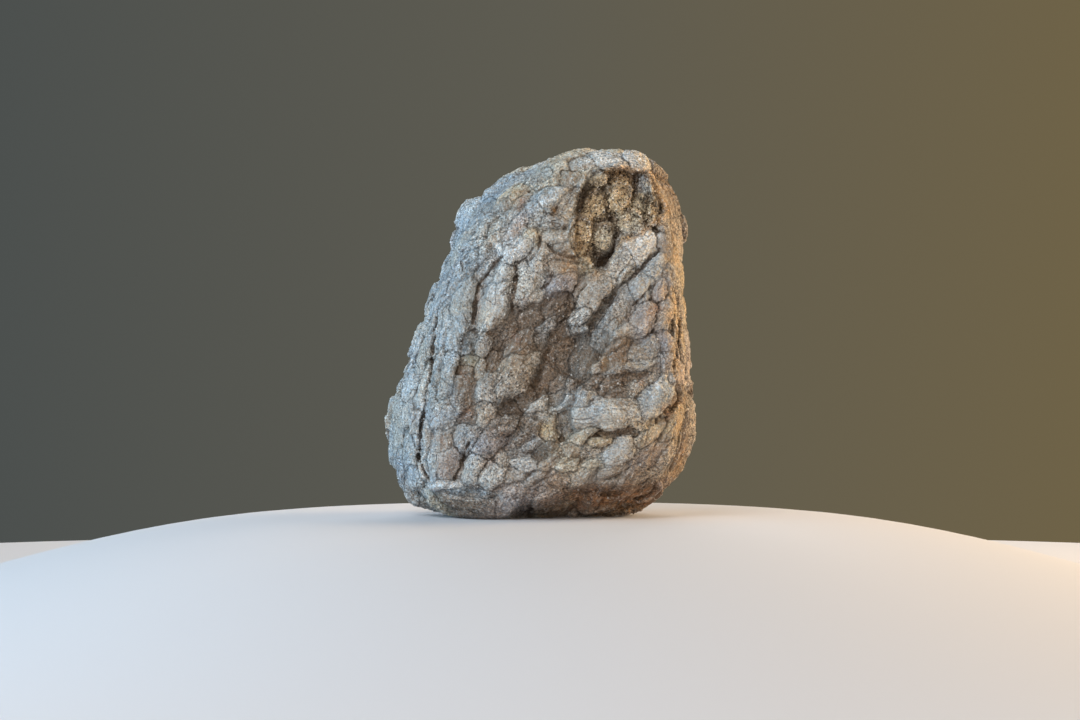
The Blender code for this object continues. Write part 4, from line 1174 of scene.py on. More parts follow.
class GrowthTool:
    """Builds a Geometry Nodes tree with named inputs and turns its result into a mesh."""

    name = "growth"

    def __init__(self) -> None:
        """Starts an empty tree with a geometry input and output."""
        self.tree = bpy.data.node_groups.new(self.name, "GeometryNodeTree")
        self.sheet = TreeSheet(self.tree)
        self.tree.interface.new_socket("Geometry", in_out="INPUT",
                                       socket_type="NodeSocketGeometry")
        self.tree.interface.new_socket("Geometry", in_out="OUTPUT",
                                       socket_type="NodeSocketGeometry")
        self.values: dict[str, object] = {}

    def named_input(self, name: str, kind: str, value: object) -> None:
        """Adds a named input and keeps the value that it gets."""
        self.tree.interface.new_socket(name, in_out="INPUT", socket_type=kind)
        self.values[name] = value

    def finish(self, geometry: Socket, material: Socket) -> None:
        """Ends the tree in Realize Instances and Set Material."""
        real = self.sheet.add("GeometryNodeRealizeInstances", {0: geometry})
        dressed = self.sheet.add("GeometryNodeSetMaterial",
                                 {"Geometry": real.outputs[0], "Material": material})
        self.sheet.add("NodeGroupOutput", {0: dressed.outputs[0]})

    def grown(self, base: bpy.types.Mesh) -> bpy.types.Mesh:
        """Runs the tree on a mesh.

        Args:
            base: The mesh that the tree starts from.

        Returns:
            The result as a plain mesh.
        """
        carrier = bpy.data.objects.new(self.name, base)
        bpy.context.scene.collection.objects.link(carrier)
        modifier = carrier.modifiers.new(self.name, "NODES")
        modifier.node_group = self.tree
        for item in self.tree.interface.items_tree:
            if item.item_type == "SOCKET" and item.name in self.values:
                modifier[item.identifier] = self.values[item.name]
        evaluated = carrier.evaluated_get(bpy.context.evaluated_depsgraph_get())
        result = bpy.data.meshes.new_from_object(evaluated)
        carrier.modifiers.remove(modifier)
        bpy.data.objects.remove(carrier, do_unlink=True)
        return result


@dataclass
class GrainSizes:
    """Sizes of the weathered grain, in metres, and the lean of its chips."""

    knot_size: float = 1.9 * MM
    knot_height: float = 0.10 * MM
    crease_depth: float = 0.05 * MM
    chip_size: float = 1.1 * MM
    chip_lean: float = 0.28
    ridge_size: float = 2.8 * MM
    ridge_height: float = 0.13 * MM
    grain_size: float = 0.7 * MM
    grain_height: float = 0.07 * MM


class WeatheredGrain(GrowthTool):
    """Geometry Nodes that press knots, chips and grain into the stone's surface."""

    name = "weathered_grain"
    knot_bend = 1.2
    knot_run: Span = (0.1, 0.75, 1.0, -1.0)
    crease_run: Span = (0.0, 0.16, -1.0, 0.0)
    chip_bend = 0.5
    ridge_run: Span = (0.0, 0.16, -1.0, 0.7)
    grain_run: Span = (0.3, 0.7, -1.0, 1.0)

    def __init__(self, sizes: GrainSizes, material: bpy.types.Material) -> None:
        """Builds the tree.

        Args:
            sizes: The sizes of the knots, chips, streaks and grain.
            material: The stone's finish.
        """
        super().__init__()
        for item in fields(sizes):
            self.named_input(item.name.replace("_", " ").title(), "NodeSocketFloat",
                             getattr(sizes, item.name))
        self.named_input("Stone Finish", "NodeSocketMaterial", material)
        sheet = self.sheet
        inputs = sheet.add("NodeGroupInput").outputs
        place = sheet.add("GeometryNodeInputPosition").outputs[0]
        normal = sheet.add("GeometryNodeInputNormal").outputs[0]
        grown = sheet.attribute("grown", "FLOAT_VECTOR")
        free = sheet.attribute("free", "FLOAT")
        parts = (
            self.knots(grown, inputs["Knot Size"], inputs["Knot Height"]),
            self.creases(grown, inputs["Knot Size"], inputs["Crease Depth"]),
            self.chips(grown, inputs["Chip Size"], inputs["Chip Lean"]),
            self.ridges(grown, inputs["Ridge Size"], inputs["Ridge Height"]),
            self.grain(place, inputs["Grain Size"], inputs["Grain Height"]),
        )
        height = parts[0]
        for part in parts[1:]:
            height = sheet.math("ADD", height, part)
        offset = sheet.scaled(normal, sheet.math("MULTIPLY", height, free))
        moved = sheet.add("GeometryNodeSetPosition",
                          {"Geometry": inputs["Geometry"], "Offset": offset})
        self.finish(moved.outputs[0], inputs["Stone Finish"])

    def frequency(self, size: Socket) -> Socket:
        """One over a size."""
        return self.sheet.math("DIVIDE", 1.0, size)

    def bent(self, place: Socket, size: Socket, share: float) -> Socket:
        """The places shifted by noise of the given size, by a share of that size."""
        sheet = self.sheet
        noise = sheet.add("ShaderNodeTexNoise", {"Vector": place,
                                                 "Scale": self.frequency(size)}).outputs[1]
        shift = sheet.vector("SUBTRACT", noise, (0.5, 0.5, 0.5))
        reach = sheet.math("MULTIPLY", size, share)
        return sheet.vector("ADD", place, sheet.scaled(shift, reach))

    def knots(self, place: Socket, size: Socket, height: Socket) -> Socket:
        """Rounded knots that are drawn out along their lump."""
        sheet = self.sheet
        cell = sheet.cells(self.bent(place, size, self.knot_bend), self.frequency(size))
        rise = sheet.span(cell.outputs["Distance"], *self.knot_run)
        return sheet.math("MULTIPLY", rise, height)

    def creases(self, place: Socket, size: Socket, depth: Socket) -> Socket:
        """Thin creases between the knots."""
        sheet = self.sheet
        cell = sheet.cells(self.bent(place, size, self.knot_bend), self.frequency(size),
                           "DISTANCE_TO_EDGE")
        drop = sheet.span(cell.outputs["Distance"], *self.crease_run)
        return sheet.math("MULTIPLY", drop, depth)

    def chips(self, place: Socket, size: Socket, lean: Socket) -> Socket:
        """Small flat chips, each leaning its own way."""
        sheet = self.sheet
        bent = self.bent(place, size, self.chip_bend)
        cell = sheet.cells(bent, self.frequency(size)).outputs
        offset = sheet.vector("SUBTRACT", bent, cell["Position"])
        way = sheet.vector("SUBTRACT", cell["Color"], (0.5, 0.5, 0.5))
        drop = sheet.add("ShaderNodeVectorMath", {0: offset, 1: way},
                         operation="DOT_PRODUCT").outputs["Value"]
        return sheet.math("MULTIPLY", drop, lean)

    def ridges(self, place: Socket, size: Socket, height: Socket) -> Socket:
        """Sharp-edged streaks along the lumps."""
        sheet = self.sheet
        noise = sheet.noise(place, self.frequency(size), 4.0, 0.55)
        fold = sheet.math("ABSOLUTE", sheet.math("SUBTRACT", noise, 0.5))
        return sheet.math("MULTIPLY", sheet.span(fold, *self.ridge_run), height)

    def grain(self, place: Socket, size: Socket, height: Socket) -> Socket:
        """Fine sugary grain."""
        sheet = self.sheet
        noise = sheet.noise(place, self.frequency(size), 2.0, 0.6)
        return sheet.math("MULTIPLY", sheet.span(noise, *self.grain_run), height)


@dataclass
class CrystalSizes:
    """Sizes and number of the loose-looking calcite crystals, in metres."""

    least: float = 0.22 * MM
    most: float = 0.42 * MM
    sides: tuple[float, float, float] = (1.0, 0.8, 0.62)
    density: float = 5.0e5
    seed: int = 3


class CrystalScatter(GrowthTool):
    """Geometry Nodes that set small calcite crystals into the stone's surface."""

    name = "crystal_scatter"
    whole_turn = 6.283

    def __init__(self, sizes: CrystalSizes, material: bpy.types.Material) -> None:
        """Builds the tree.

        Args:
            sizes: The crystals' sizes and number.
            material: The crystals' finish.
        """
        super().__init__()
        self.named_input("Density", "NodeSocketFloat", sizes.density)
        self.named_input("Least Size", "NodeSocketFloat", sizes.least)
        self.named_input("Most Size", "NodeSocketFloat", sizes.most)
        self.named_input("Seed", "NodeSocketInt", sizes.seed)
        self.named_input("Crystal Finish", "NodeSocketMaterial", material)
        sheet = self.sheet
        inputs = sheet.add("NodeGroupInput").outputs
        sugar = sheet.attribute("sugar", "FLOAT")
        number = sheet.math("MULTIPLY", inputs["Density"], sugar)
        spots = sheet.add("GeometryNodeDistributePointsOnFaces",
                          {"Mesh": inputs["Geometry"], "Density": number,
                           "Seed": inputs["Seed"]}, distribute_method="RANDOM")
        crystal = sheet.add("GeometryNodeMeshCube", {"Size": sizes.sides})
        turn = sheet.add("FunctionNodeRandomValue",
                         {0: (0.0,) * 3, 1: (self.whole_turn,) * 3,
                          "Seed": inputs["Seed"]}, data_type="FLOAT_VECTOR")
        size = sheet.add("FunctionNodeRandomValue",
                         {2: inputs["Least Size"], 3: inputs["Most Size"],
                          "Seed": inputs["Seed"]}, data_type="FLOAT")
        glint = sheet.add("FunctionNodeRandomValue", {"Seed": inputs["Seed"]},
                          data_type="FLOAT")
        set_in = sheet.add("GeometryNodeInstanceOnPoints",
                           {"Points": spots.outputs["Points"],
                            "Instance": crystal.outputs["Mesh"],
                            "Rotation": turn.outputs[0], "Scale": size.outputs[1]})
        kept = sheet.add("GeometryNodeStoreNamedAttribute",
                         {"Geometry": set_in.outputs[0], "Name": "glint",
                          "Value": glint.outputs[1]}, data_type="FLOAT",
                         domain="INSTANCE")
        self.finish(kept.outputs[0], inputs["Crystal Finish"])


@dataclass(frozen=True)
class LimestoneFinish:
    """Weathered grey limestone with sugary grain, crevices browned by dirt and painted shade,
    and ridges paled by dust and painted highlight.
    """

    name: str = "weathered_limestone"
    mottle_size: float = 3.4 * MM
    speckle_size: float = 0.34 * MM
    crystal_size: float = 0.31 * MM
    streak_size: float = 1.5 * MM
    hairline_gap: float = 3.8 * MM
    hairline_patch: float = 9.0 * MM
    hairline_width: float = 0.018
    wrinkle_size: float = 0.9 * MM
    hairline_depth: float = 0.2 * MM
    wrinkle_height: float = 0.55 * MM
    facet_size: float = 0.42 * MM
    facet_lean: float = 1.1
    grain_height: float = 0.35 * MM
    # The crevices' brown: dirt and painted shade in them, and the colour of the hairline
    # cracks.
    crevice: Colour = (0.084, 0.050, 0.027, 1.0)
    # Pale of the ridges: dust and painted highlight.
    dust: Colour = (0.62, 0.58, 0.54, 1.0)
    # White of the crystal faces: partly spar and partly painted glint.
    spark: Colour = (0.85, 0.85, 0.84, 1.0)
    cool: Colour = (0.94, 1.0, 1.07, 1.0)
    warm: Colour = (1.08, 1.0, 0.9, 1.0)
    cool_grit: Colour = (0.92, 1.0, 1.08, 1.0)
    warm_grit: Colour = (1.10, 0.99, 0.90, 1.0)
    roughness: Span = (0.0, 1.0, 0.62, 0.3)
    mottle_light: Span = (0.25, 0.75, 0.78, 1.22)
    mottle_warmth: Span = (0.35, 0.65, 0.0, 1.0)
    streak_light: Span = (0.3, 0.7, 0.75, 1.27)
    hairline_where: Span = (0.4, 0.6, 0.0, 1.0)
    hairline_share: float = 0.7
    # Shares of the crevices' dirt and painted shade, and of the ridges' dust and painted
    # highlight.
    fine_dirt_and_shade_run: Span = (-1.5, -0.2, 0.75, 0.0)
    broad_dirt_and_shade_run: Span = (-1.4, -0.3, 0.25, 0.0)
    ridge_dust_and_highlight_run: Span = (0.1, 1.2, 0.0, 0.4)
    speckle_light: Span = (0.3, 0.7, -0.25, 0.25)
    grit_light: Span = (0.0, 1.0, -0.38, 0.38)
    # Where the bright crystal faces fall: white spar and painted glints, more on the raised
    # places.
    spar_and_glint_chance: Span = (0.87, 0.95, 0.0, 1.0)
    spar_and_glint_where: Span = (-0.7, 0.5, 0.0, 1.0)
    spar_and_glint_share: float = 0.35

    def material(self) -> bpy.types.Material:
        """Builds the material.

        Returns:
            The material, which reads the tint and relief kept with the mesh's points.
        """
        material = bpy.data.materials.new(self.name)
        material.use_nodes = True
        sheet = TreeSheet(material.node_tree)
        shader = material.node_tree.nodes["Principled BSDF"]
        place = sheet.add("ShaderNodeTexCoord").outputs["Object"]
        tint = self.kept(sheet, "tint").outputs["Color"]
        hollow = self.kept(sheet, "fine_relief").outputs["Fac"]
        broad = self.kept(sheet, "broad_relief").outputs["Fac"]
        colour = self.mottled(sheet, place, tint)
        colour = self.relief_shaded(sheet, colour, hollow, broad)
        grown = self.kept(sheet, "grown").outputs["Vector"]
        colour = self.streaked(sheet, grown, colour)
        colour, spark = self.speckled(sheet, place, colour, hollow)
        sheet.feed(shader.inputs["Base Color"], colour)
        sheet.feed(shader.inputs["Roughness"], sheet.span(spark, *self.roughness))
        sheet.feed(shader.inputs["Normal"], self.bump(sheet, place, grown))
        return material

    def kept(self, sheet: TreeSheet, name: str) -> bpy.types.Node:
        """Reads values that are kept with the mesh's points."""
        return sheet.add("ShaderNodeAttribute", attribute_name=name)

    def mottled(self, sheet: TreeSheet, place: Socket, tint: Socket) -> Socket:
        """The tint with soft patches that are lighter, darker, warmer and cooler."""
        light = sheet.noise(place, 1.0 / self.mottle_size, 3.0, 0.6)
        light = sheet.span(light, *self.mottle_light)
        tone = sheet.noise(place, 0.4 / self.mottle_size, 2.0, 0.5)
        tone = sheet.mix(sheet.span(tone, *self.mottle_warmth), self.cool, self.warm)
        colour = sheet.mix(1.0, tint, tone, "MULTIPLY")
        return sheet.scaled(colour, light)

    def streaked(self, sheet: TreeSheet, grown: Socket, colour: Socket) -> Socket:
        """The colour with paler and darker streaks along each lump."""
        streak = sheet.noise(grown, 1.0 / self.streak_size, 4.0, 0.65)
        colour = sheet.scaled(colour, sheet.span(streak, *self.streak_light))
        dark = sheet.math("MULTIPLY", self.hairlines(sheet, grown), self.hairline_share)
        return sheet.mix(dark, colour, self.crevice)

    def hairlines(self, sheet: TreeSheet, grown: Socket) -> Socket:
        """1 on the hairline cracks along each lump, and 0 off them."""
        wave = sheet.noise(grown, 1.0 / self.hairline_gap, 2.0, 0.5)
        away = sheet.math("ABSOLUTE", sheet.math("SUBTRACT", wave, 0.5))
        here = sheet.span(sheet.noise(grown, 1.0 / self.hairline_patch, 1.0),
                          *self.hairline_where)
        return sheet.math("MULTIPLY", here,
                          sheet.span(away, 0.0, self.hairline_width, 1.0, 0.0))

    def relief_shaded(self, sheet: TreeSheet, colour: Socket, fine: Socket,
                      broad: Socket) -> Socket:
        """Brown in the crevices and broad hollows, partly dirt and partly painted shade, and
        pale on the ridges, partly dust and partly painted highlight.
        """
        # Dirt and painted shade: browner where the surface dips below its near surroundings.
        dirt_and_shade = sheet.span(fine, *self.fine_dirt_and_shade_run)
        colour = sheet.mix(dirt_and_shade, colour, self.crevice)
        # Dirt and painted shade: browner in the broad hollows.
        deep = sheet.span(broad, *self.broad_dirt_and_shade_run)
        colour = sheet.mix(deep, colour, self.crevice)
        # Dust and painted highlight: paler where the surface stands out.
        dust_and_highlight_share = sheet.span(fine, *self.ridge_dust_and_highlight_run)
        return sheet.mix(dust_and_highlight_share, colour, self.dust)

    def speckled(self, sheet: TreeSheet, place: Socket, colour: Socket, fine: Socket
                 ) -> tuple[Socket, Socket]:
        """The colour with its sugary speckle and its bright crystal faces, white partly as
        spar and partly as painted glints on the raised places.

        Args:
            sheet: The material's tree.
            place: Object coordinates.
            colour: The colour so far.
            fine: How far each place stands out.

        Returns:
            The colour, and how much of a bright crystal face, partly spar and partly painted
            glint, each place is.
        """
        grit = sheet.cells(place, 1.0 / self.speckle_size).outputs["Color"]
        grit = sheet.add("ShaderNodeSeparateColor", {0: grit}).outputs
        speckle = sheet.noise(place, 0.8 / self.speckle_size, 2.0, 0.7)
        speckle = sheet.math("ADD", sheet.span(speckle, *self.speckle_light),
                             sheet.span(grit[0], *self.grit_light))
        share = self.kept(sheet, "grit").outputs["Fac"]
        speckle = sheet.math("ADD", sheet.math("MULTIPLY", speckle, share), 1.0)
        hue = sheet.mix(grit[1], self.cool_grit, self.warm_grit)
        colour = sheet.scaled(sheet.mix(1.0, colour, hue, "MULTIPLY"), speckle)
        # Spar and painted glints: a few small cells on the raised places turn white.
        cell = sheet.cells(place, 1.0 / self.crystal_size)
        chance = sheet.add("ShaderNodeSeparateColor", {0: cell.outputs["Color"]}).outputs[0]
        lit = sheet.span(chance, *self.spar_and_glint_chance)
        lit = sheet.math("MULTIPLY", lit, sheet.span(fine, *self.spar_and_glint_where))
        colour = sheet.mix(sheet.math("MULTIPLY", lit, self.spar_and_glint_share), colour,
                           self.spark)
        return colour, lit

    def bump(self, sheet: TreeSheet, place: Socket, grown: Socket) -> Socket:
        """The relief that is finer than the mesh.

        Args:
            sheet: The material's tree.
            place: Object coordinates.
            grown: Places along and across each lump.

        Returns:
            The bent normal.
        """
        bend = sheet.noise(place, 1.0 / self.facet_size, 1.0)
        wrinkle = sheet.noise(grown, 1.0 / self.wrinkle_size, 3.0, 0.6)
        cell = sheet.cells(place, 1.0 / self.facet_size).outputs
        offset = sheet.vector("SUBTRACT", place, cell["Position"])
        way = sheet.vector("SUBTRACT", cell["Color"], (0.5, 0.5, 0.5))
        lean = sheet.add("ShaderNodeVectorMath", {0: offset, 1: way},
                         operation="DOT_PRODUCT").outputs["Value"]
        height = sheet.math("ADD", sheet.math("MULTIPLY", wrinkle, self.wrinkle_height),
                            sheet.math("MULTIPLY", lean, self.facet_lean))
        height = sheet.math("ADD", height, sheet.math("MULTIPLY", bend, self.grain_height))
        height = sheet.math("SUBTRACT", height, sheet.math(
            "MULTIPLY", self.hairlines(sheet, grown), self.hairline_depth))
        node = sheet.add("ShaderNodeBump", {"Strength": 1.0, "Distance": 1.0,
                                            "Height": height})
        return node.outputs[0]


@dataclass(frozen=True)
class CalciteFinish:
    """Small calcite crystals in the tint of the stone that they grow from, each lighter or
    darker at random, and a few bright, partly as clear crystal and partly as painted glint.
    """

    name: str = "calcite_crystals"
    # The bright of the few clearest crystals: partly clear crystal and partly painted glint.
    bright: Colour = (0.86, 0.85, 0.82, 1.0)
    shade: Span = (0.0, 1.0, 0.6, 1.3)
    clearness: Span = (0.95, 0.98, 0.0, 0.5)
    roughness: float = 0.42

    def material(self) -> bpy.types.Material:
        """The crystals' material."""
        material = bpy.data.materials.new(self.name)
        material.use_nodes = True
        sheet = TreeSheet(material.node_tree)
        shader = material.node_tree.nodes["Principled BSDF"]
        tint = sheet.add("ShaderNodeAttribute", attribute_name="tint").outputs["Color"]
        glint = sheet.add("ShaderNodeAttribute", attribute_name="glint").outputs["Fac"]
        shade = sheet.scaled(tint, sheet.span(glint, *self.shade))
        # Clear crystal and painted glint: the crystals with the highest glint value turn
        # bright.
        clear = sheet.span(glint, *self.clearness)
        sheet.feed(shader.inputs["Base Color"], sheet.mix(clear, shade, self.bright))
        shader.inputs["Roughness"].default_value = self.roughness
        return material


@dataclass
class Colouring:
    """How the tint of the lumps gives way in the hollow, under the lip and in stains, with
    painted shade in the hollow and under the lip and painted highlight in the hollow, each
    over the stone's own colour.
    """

    eye: Eye
    carving: Carving
    raggedness: float = 1.1
    ragged_size: float = 2.0
    patch_size: float = 1.1
    patch_range: Place = (-0.4, 0.4)
    patch_share: float = 0.65
    # Share of umber on the hollow's walls: their own brown and painted shade.
    wall_brown_and_shade_share: float = 0.75
    wall_radius: Place = (0.98, 1.25)
    wall_inset: Place = (0.1, 0.8)
    gold_and_highlight_share: float = 0.85
    # Share of gold on the hollow's raised places: their own colour and painted highlight.
    gold_and_highlight_relief: Place = (-0.1, 1.0)
    edge_share: float = 0.8
    edge_width: Place = (1.0, 0.3)
    edge_height: Place = (57.0, 60.0)
    edge_middle: float = 13.0
    # Share of umber below the lip: the brown underside and painted shade.
    under_lip_brown_and_shade_share: float = 0.6
    under_depth: float = 3.0
    seed: int = 71

    def tinted(self, points: Array, normals: Array, reading: Reading, broad: Array
               ) -> Array:
        """The stone's colour at each point.

        Args:
            points: The points.
            normals: The directions in which they face.
            reading: What the lumps say there.
            broad: How far each stands above its surroundings.

        Returns:
            Linear colours.
        """
        places = self.eye.seen(points)
        facing = self.eye.facing(points, normals)
        tint = self.in_hollow(reading.tint, places, facing, broad)
        # Brown underside and painted shade: the front turns umber where it steps back below
        # the lip.
        under = facing * smoothstep(0.0, 1.0, self.carving.lip(places) / self.under_depth)
        tint = self.turned(tint, Tint.UMBER.linear, self.under_lip_brown_and_shade_share * under)
        shifts = [lattice_noise(points, self.ragged_size, self.seed + axis)
                  for axis in range(2)]
        ragged = places + self.raggedness * np.stack(shifts, axis=1)
        patchy = 1.0 - self.patch_share + self.patch_share * smoothstep(
            *self.patch_range, lattice_noise(points, self.patch_size, self.seed + 2))
        for stain in STAINS:
            share = stain.share * facing * patchy * patch(ragged, *stain[:5])
            tint = self.turned(tint, stain.tint.linear, share)
        return tint

    def in_hollow(self, tint: Array, places: Array, facing: Array, broad: Array) -> Array:
        """The tint with the hollow's walls turned umber, partly their own brown and partly
        painted shade, its raised ends turned gold, partly their own colour and partly painted
        highlight, and its weathered edge.

        Args:
            tint: The tint of the lumps.
            places: Where the eye sees the points.
            facing: How far they face the eye.
            broad: How far they stand above their surroundings.

        Returns:
            Linear colours.
        """
        within = facing * inside(places, HOLLOW_RIM)
        rim = distance_to_line(places, HOLLOW_RIM, closed=True)
        ends = np.min([self.carving.end_radius(places, end) for end in CORALLITES], axis=0)
        # Own brown and painted shade: the hollow's walls between the corallites turn umber.
        wall = self.wall_brown_and_shade_share * within * smoothstep(*self.wall_radius, ends)
        wall *= smoothstep(*self.wall_inset, rim)
        tint = self.turned(tint, Tint.UMBER.linear, wall)
        # Own colour and painted highlight: the raised places in the hollow turn gold.
        lit = self.gold_and_highlight_share * within * (1.0 - wall) * smoothstep(*self.gold_and_highlight_relief, broad)
        tint = self.turned(tint, Tint.GOLD.linear, lit)
        edge = self.edge_share * facing * smoothstep(*self.edge_width, rim)
        edge *= smoothstep(*self.edge_height, places[:, 1])
        rind = np.where((places[:, 0] < self.edge_middle)[:, None], Tint.COOL.linear,
                        Tint.OCHRE.linear)
        return self.turned(tint, rind, edge)

    def turned(self, tint: Array, aim: Array, share: Array) -> Array:
        """The tint moved towards another by a share of the way."""
        return tint + (aim - tint) * share[:, None]


@dataclass
class FossilCoral:
    """The stone and the crystals set in it."""

    eye: Eye
    field: LumpField
    carving: Carving
    colouring: Colouring
    first_voxel: float = 0.55
    second_voxel: float = 0.33
    most_triangles: int = 198000
    crack_slimness: float = 0.26
    groove_width: float = 1.3
    crevice_depth: float = 0.5
    crevice_share: float = 0.25
    crack_share: float = 0.35
    sharp_crack_share: float = 0.5
    gate_size: float = 6.0
    gate_range: Place = (-0.1, 0.6)
    gate_seed: int = 91
    side_gate: float = 0.7
    side_reach: float = 1.9
    front_reach: float = 6.0
    foot_fade: Place = (-0.5, 2.0)
    foot_gap: float = 0.05
    crumble_inset: Place = (0.3, 1.2)
    near_rounds: int = 8
    far_rounds: int = 60
    base_snap: float = 0.08
    fine_unit: float = 0.16
    broad_unit: float = 0.5
    grit_size: float = 5.0
    grit_seed: int = 61
    coarse_range: Place = (-0.5, 0.6)
    even_grit: float = 0.58
    coarse_grit: float = 0.95
    crust_grit: float = 0.7
    even_sugar: float = 0.75
    patchy_sugar: float = 0.5
    least_sugar: float = 0.1
    crust_sugar: float = 8.0
    hidden_sugar: float = 0.6
    front_share: float = 0.75
    crumble: float = 1.1
    base_hold: float = 1.5
    shift: Array = field(default_factory=lambda: np.zeros(3))

    def build(self) -> list[bpy.types.Object]:
        """Builds the stone and its crystals.

        Returns:
            The two objects.
        """
        bare = BareStone().worn()
        self.field.lay(bare)
        LOG.info("%d lumps laid", len(self.field.lumps))
        carved, homes = self.carved(bare)
        even = carved.after("REMESH", mode="VOXEL", voxel_size=self.second_voxel * MM)
        self.cut_flat(even.mesh)
        LOG.info("even mesh of %d points", len(even.mesh.vertices))
        reading = self.sharpened(even, carved, homes)
        finish = LimestoneFinish().material()
        grown = Sheet(WeatheredGrain(GrainSizes(), finish).grown(even.mesh))
        self.dress(grown, reading)
        stone = self.thinned(grown)
        self.settle(stone)
        crystals = CrystalScatter(CrystalSizes(), CalciteFinish().material())
        grains = crystals.grown(stone.mesh)
        return [self.piece("coral_stone", stone.mesh, finish),
                self.piece("calcite_grains", grains, None)]

    def carved(self, bare: Sheet) -> tuple[Sheet, Array]:
        """Presses the main forms into the bare stone.

        Args:
            bare: The worn skin.

        Returns:
            The carved mesh, and the place on the bare stone that each point came from.
        """
        sheet = bare.after("REMESH", mode="VOXEL", voxel_size=self.first_voxel * MM)
        homes = sheet.points
        normals = sheet.normals
        reading = self.field.read(homes)
        places = self.eye.seen(homes)
        facing = self.eye.facing(homes, normals)
        height = reading.height - self.crevice_share * self.crevice_depth * reading.crevice
        height += self.carving.sides(homes, 1.0 - facing)
        height -= facing * self.crack_share * self.carving.cracks(places, self.groove_width)
        height -= facing * self.carving.overhang(places, height)
        height = np.minimum(height, self.side_reach + self.front_reach * facing)
        height *= smoothstep(*self.foot_fade, homes[:, 2])
        inward = facing * (self.carving.hollow(places) + self.carving.valleys(places)
                           + self.carving.lip(places))
        sheet.points = (homes + normals * height[:, None]
                        + self.eye.sight(homes) * inward[:, None])
        return sheet, homes

    def cut_flat(self, mesh: bpy.types.Mesh) -> None:
        """Cuts the stone off level with the surface that it stands on."""
        shape = bmesh.new()
        shape.from_mesh(mesh)
        bmesh.ops.bisect_plane(shape, geom=shape.verts[:] + shape.edges[:] + shape.faces[:],
                               dist=1e-6, plane_co=(0, 0, 0), plane_no=(0, 0, 1),
                               clear_inner=True)
        rim = [edge for edge in shape.edges if edge.is_boundary]
        bmesh.ops.holes_fill(shape, edges=rim, sides=0)
        bmesh.ops.triangulate(shape, faces=[face for face in shape.faces
                                            if len(face.verts) > 4])
        bmesh.ops.recalc_face_normals(shape, faces=shape.faces)
        shape.to_mesh(mesh)
        shape.free()

    def sharpened(self, sheet: Sheet, carved: Sheet, homes: Array) -> Reading:
        """Adds the thin cracks, sharp crevices and septa, and keeps what the grain reads.

        Args:
            sheet: The even mesh.
            carved: The mesh that it was made from.
            homes: Where the points of that mesh came from.

        Returns:
            What the lumps say at the even mesh's points.
        """
        tree = KDTree(len(homes))
        for index, vertex in enumerate(carved.mesh.vertices):
            tree.insert(vertex.co, index)
        tree.balance()
        source = np.array([tree.find(vertex.co)[1] for vertex in sheet.mesh.vertices])
        own = sheet.smoothed(homes[source], 3)
        reading = self.field.read(own)
        points = sheet.points
        normals = sheet.normals
        places = self.eye.seen(points)
        facing = self.eye.facing(points, normals)
        free = smoothstep(self.foot_gap, self.base_hold, points[:, 2])
        gate = smoothstep(*self.gate_range,
                          lattice_noise(own, self.gate_size, self.gate_seed))
        gate = np.maximum(gate, self.side_gate * (1.0 - facing))
        depth = self.crevice_depth * gate * reading.crevice
        depth += facing * self.sharp_crack_share * self.carving.cracks(places,
                                                                       self.crack_slimness)
        depth -= facing * self.carving.septa(places)
        sheet.points = points - normals * (depth * free)[:, None]
        within = facing * inside(places, HOLLOW_RIM) * smoothstep(
            *self.crumble_inset, distance_to_line(places, HOLLOW_RIM, closed=True))
        sheet.write("free", "FLOAT", free * (1.0 + self.crumble * within))
        sheet.write("grown", "FLOAT_VECTOR", reading.grown * MM)
        return reading

    def dress(self, sheet: Sheet, reading: Reading) -> None:
        """Keeps the tint, the relief and the crystals' share with the mesh's points.

        Args:
            sheet: The finished surface.
            reading: What the lumps say at its points.
        """
        points = sheet.points
        normals = sheet.normals
        near = sheet.smoothed(points, self.near_rounds)
        far = sheet.smoothed(near, self.far_rounds)
        fine = np.sum((points - near) * normals, axis=1) / self.fine_unit
        broad = np.sum((near - far) * normals, axis=1) / self.broad_unit
        tint = self.colouring.tinted(points, normals, reading, broad)
        sheet.write("tint", "FLOAT_COLOR", np.hstack((tint, np.ones((len(tint), 1)))))
        sheet.write("fine_relief", "FLOAT", np.clip(sheet.smoothed(fine, 1), -2.0, 2.0))
        sheet.write("broad_relief", "FLOAT", np.clip(broad, -2.0, 2.0))
        crust = inside(self.eye.seen(points), HOLLOW_RIM) * self.eye.facing(points, normals)
        patches = lattice_noise(points, self.grit_size, self.grit_seed)
        coarse = smoothstep(*self.coarse_range, patches)
        sheet.write("grit", "FLOAT", self.even_grit + self.coarse_grit * coarse
                    + self.crust_grit * crust)
        free = np.minimum(sheet.read("free"), 1.0)
        sugar = free * np.clip(self.even_sugar + self.patchy_sugar * patches,
                               self.least_sugar, 1.0)
        hidden = 1.0 - self.eye.facing(points, normals)
        sheet.write("sugar", "FLOAT", sugar * (1.0 + self.crust_sugar * crust
                                               - self.hidden_sugar * hidden))

    def thinned(self, sheet: Sheet) -> Sheet:
        """The mesh with few enough triangles, the most of them on the front."""
        ratio = self.most_triangles / sheet.triangles
        if ratio >= 1.0:
            return sheet
        hidden = 1.0 - self.front_share * self.eye.facing(sheet.points, sheet.normals)
        return sheet.after("DECIMATE", weights=hidden, ratio=ratio,
                           use_collapse_triangulate=True)

    def settle(self, sheet: Sheet) -> None:
        """Centres the stone on the solid that it stands for, flat on the surface."""
        points = sheet.points
        points[np.abs(points[:, 2]) < self.base_snap, 2] = 0.0
        low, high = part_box(NODE)
        middle = 0.5 * (np.array(low) + np.array(high)) / MM
        centre = 0.5 * (points.min(axis=0) + points.max(axis=0))
        self.shift[:2] = middle[:2] - centre[:2]
        sheet.points = points + self.shift

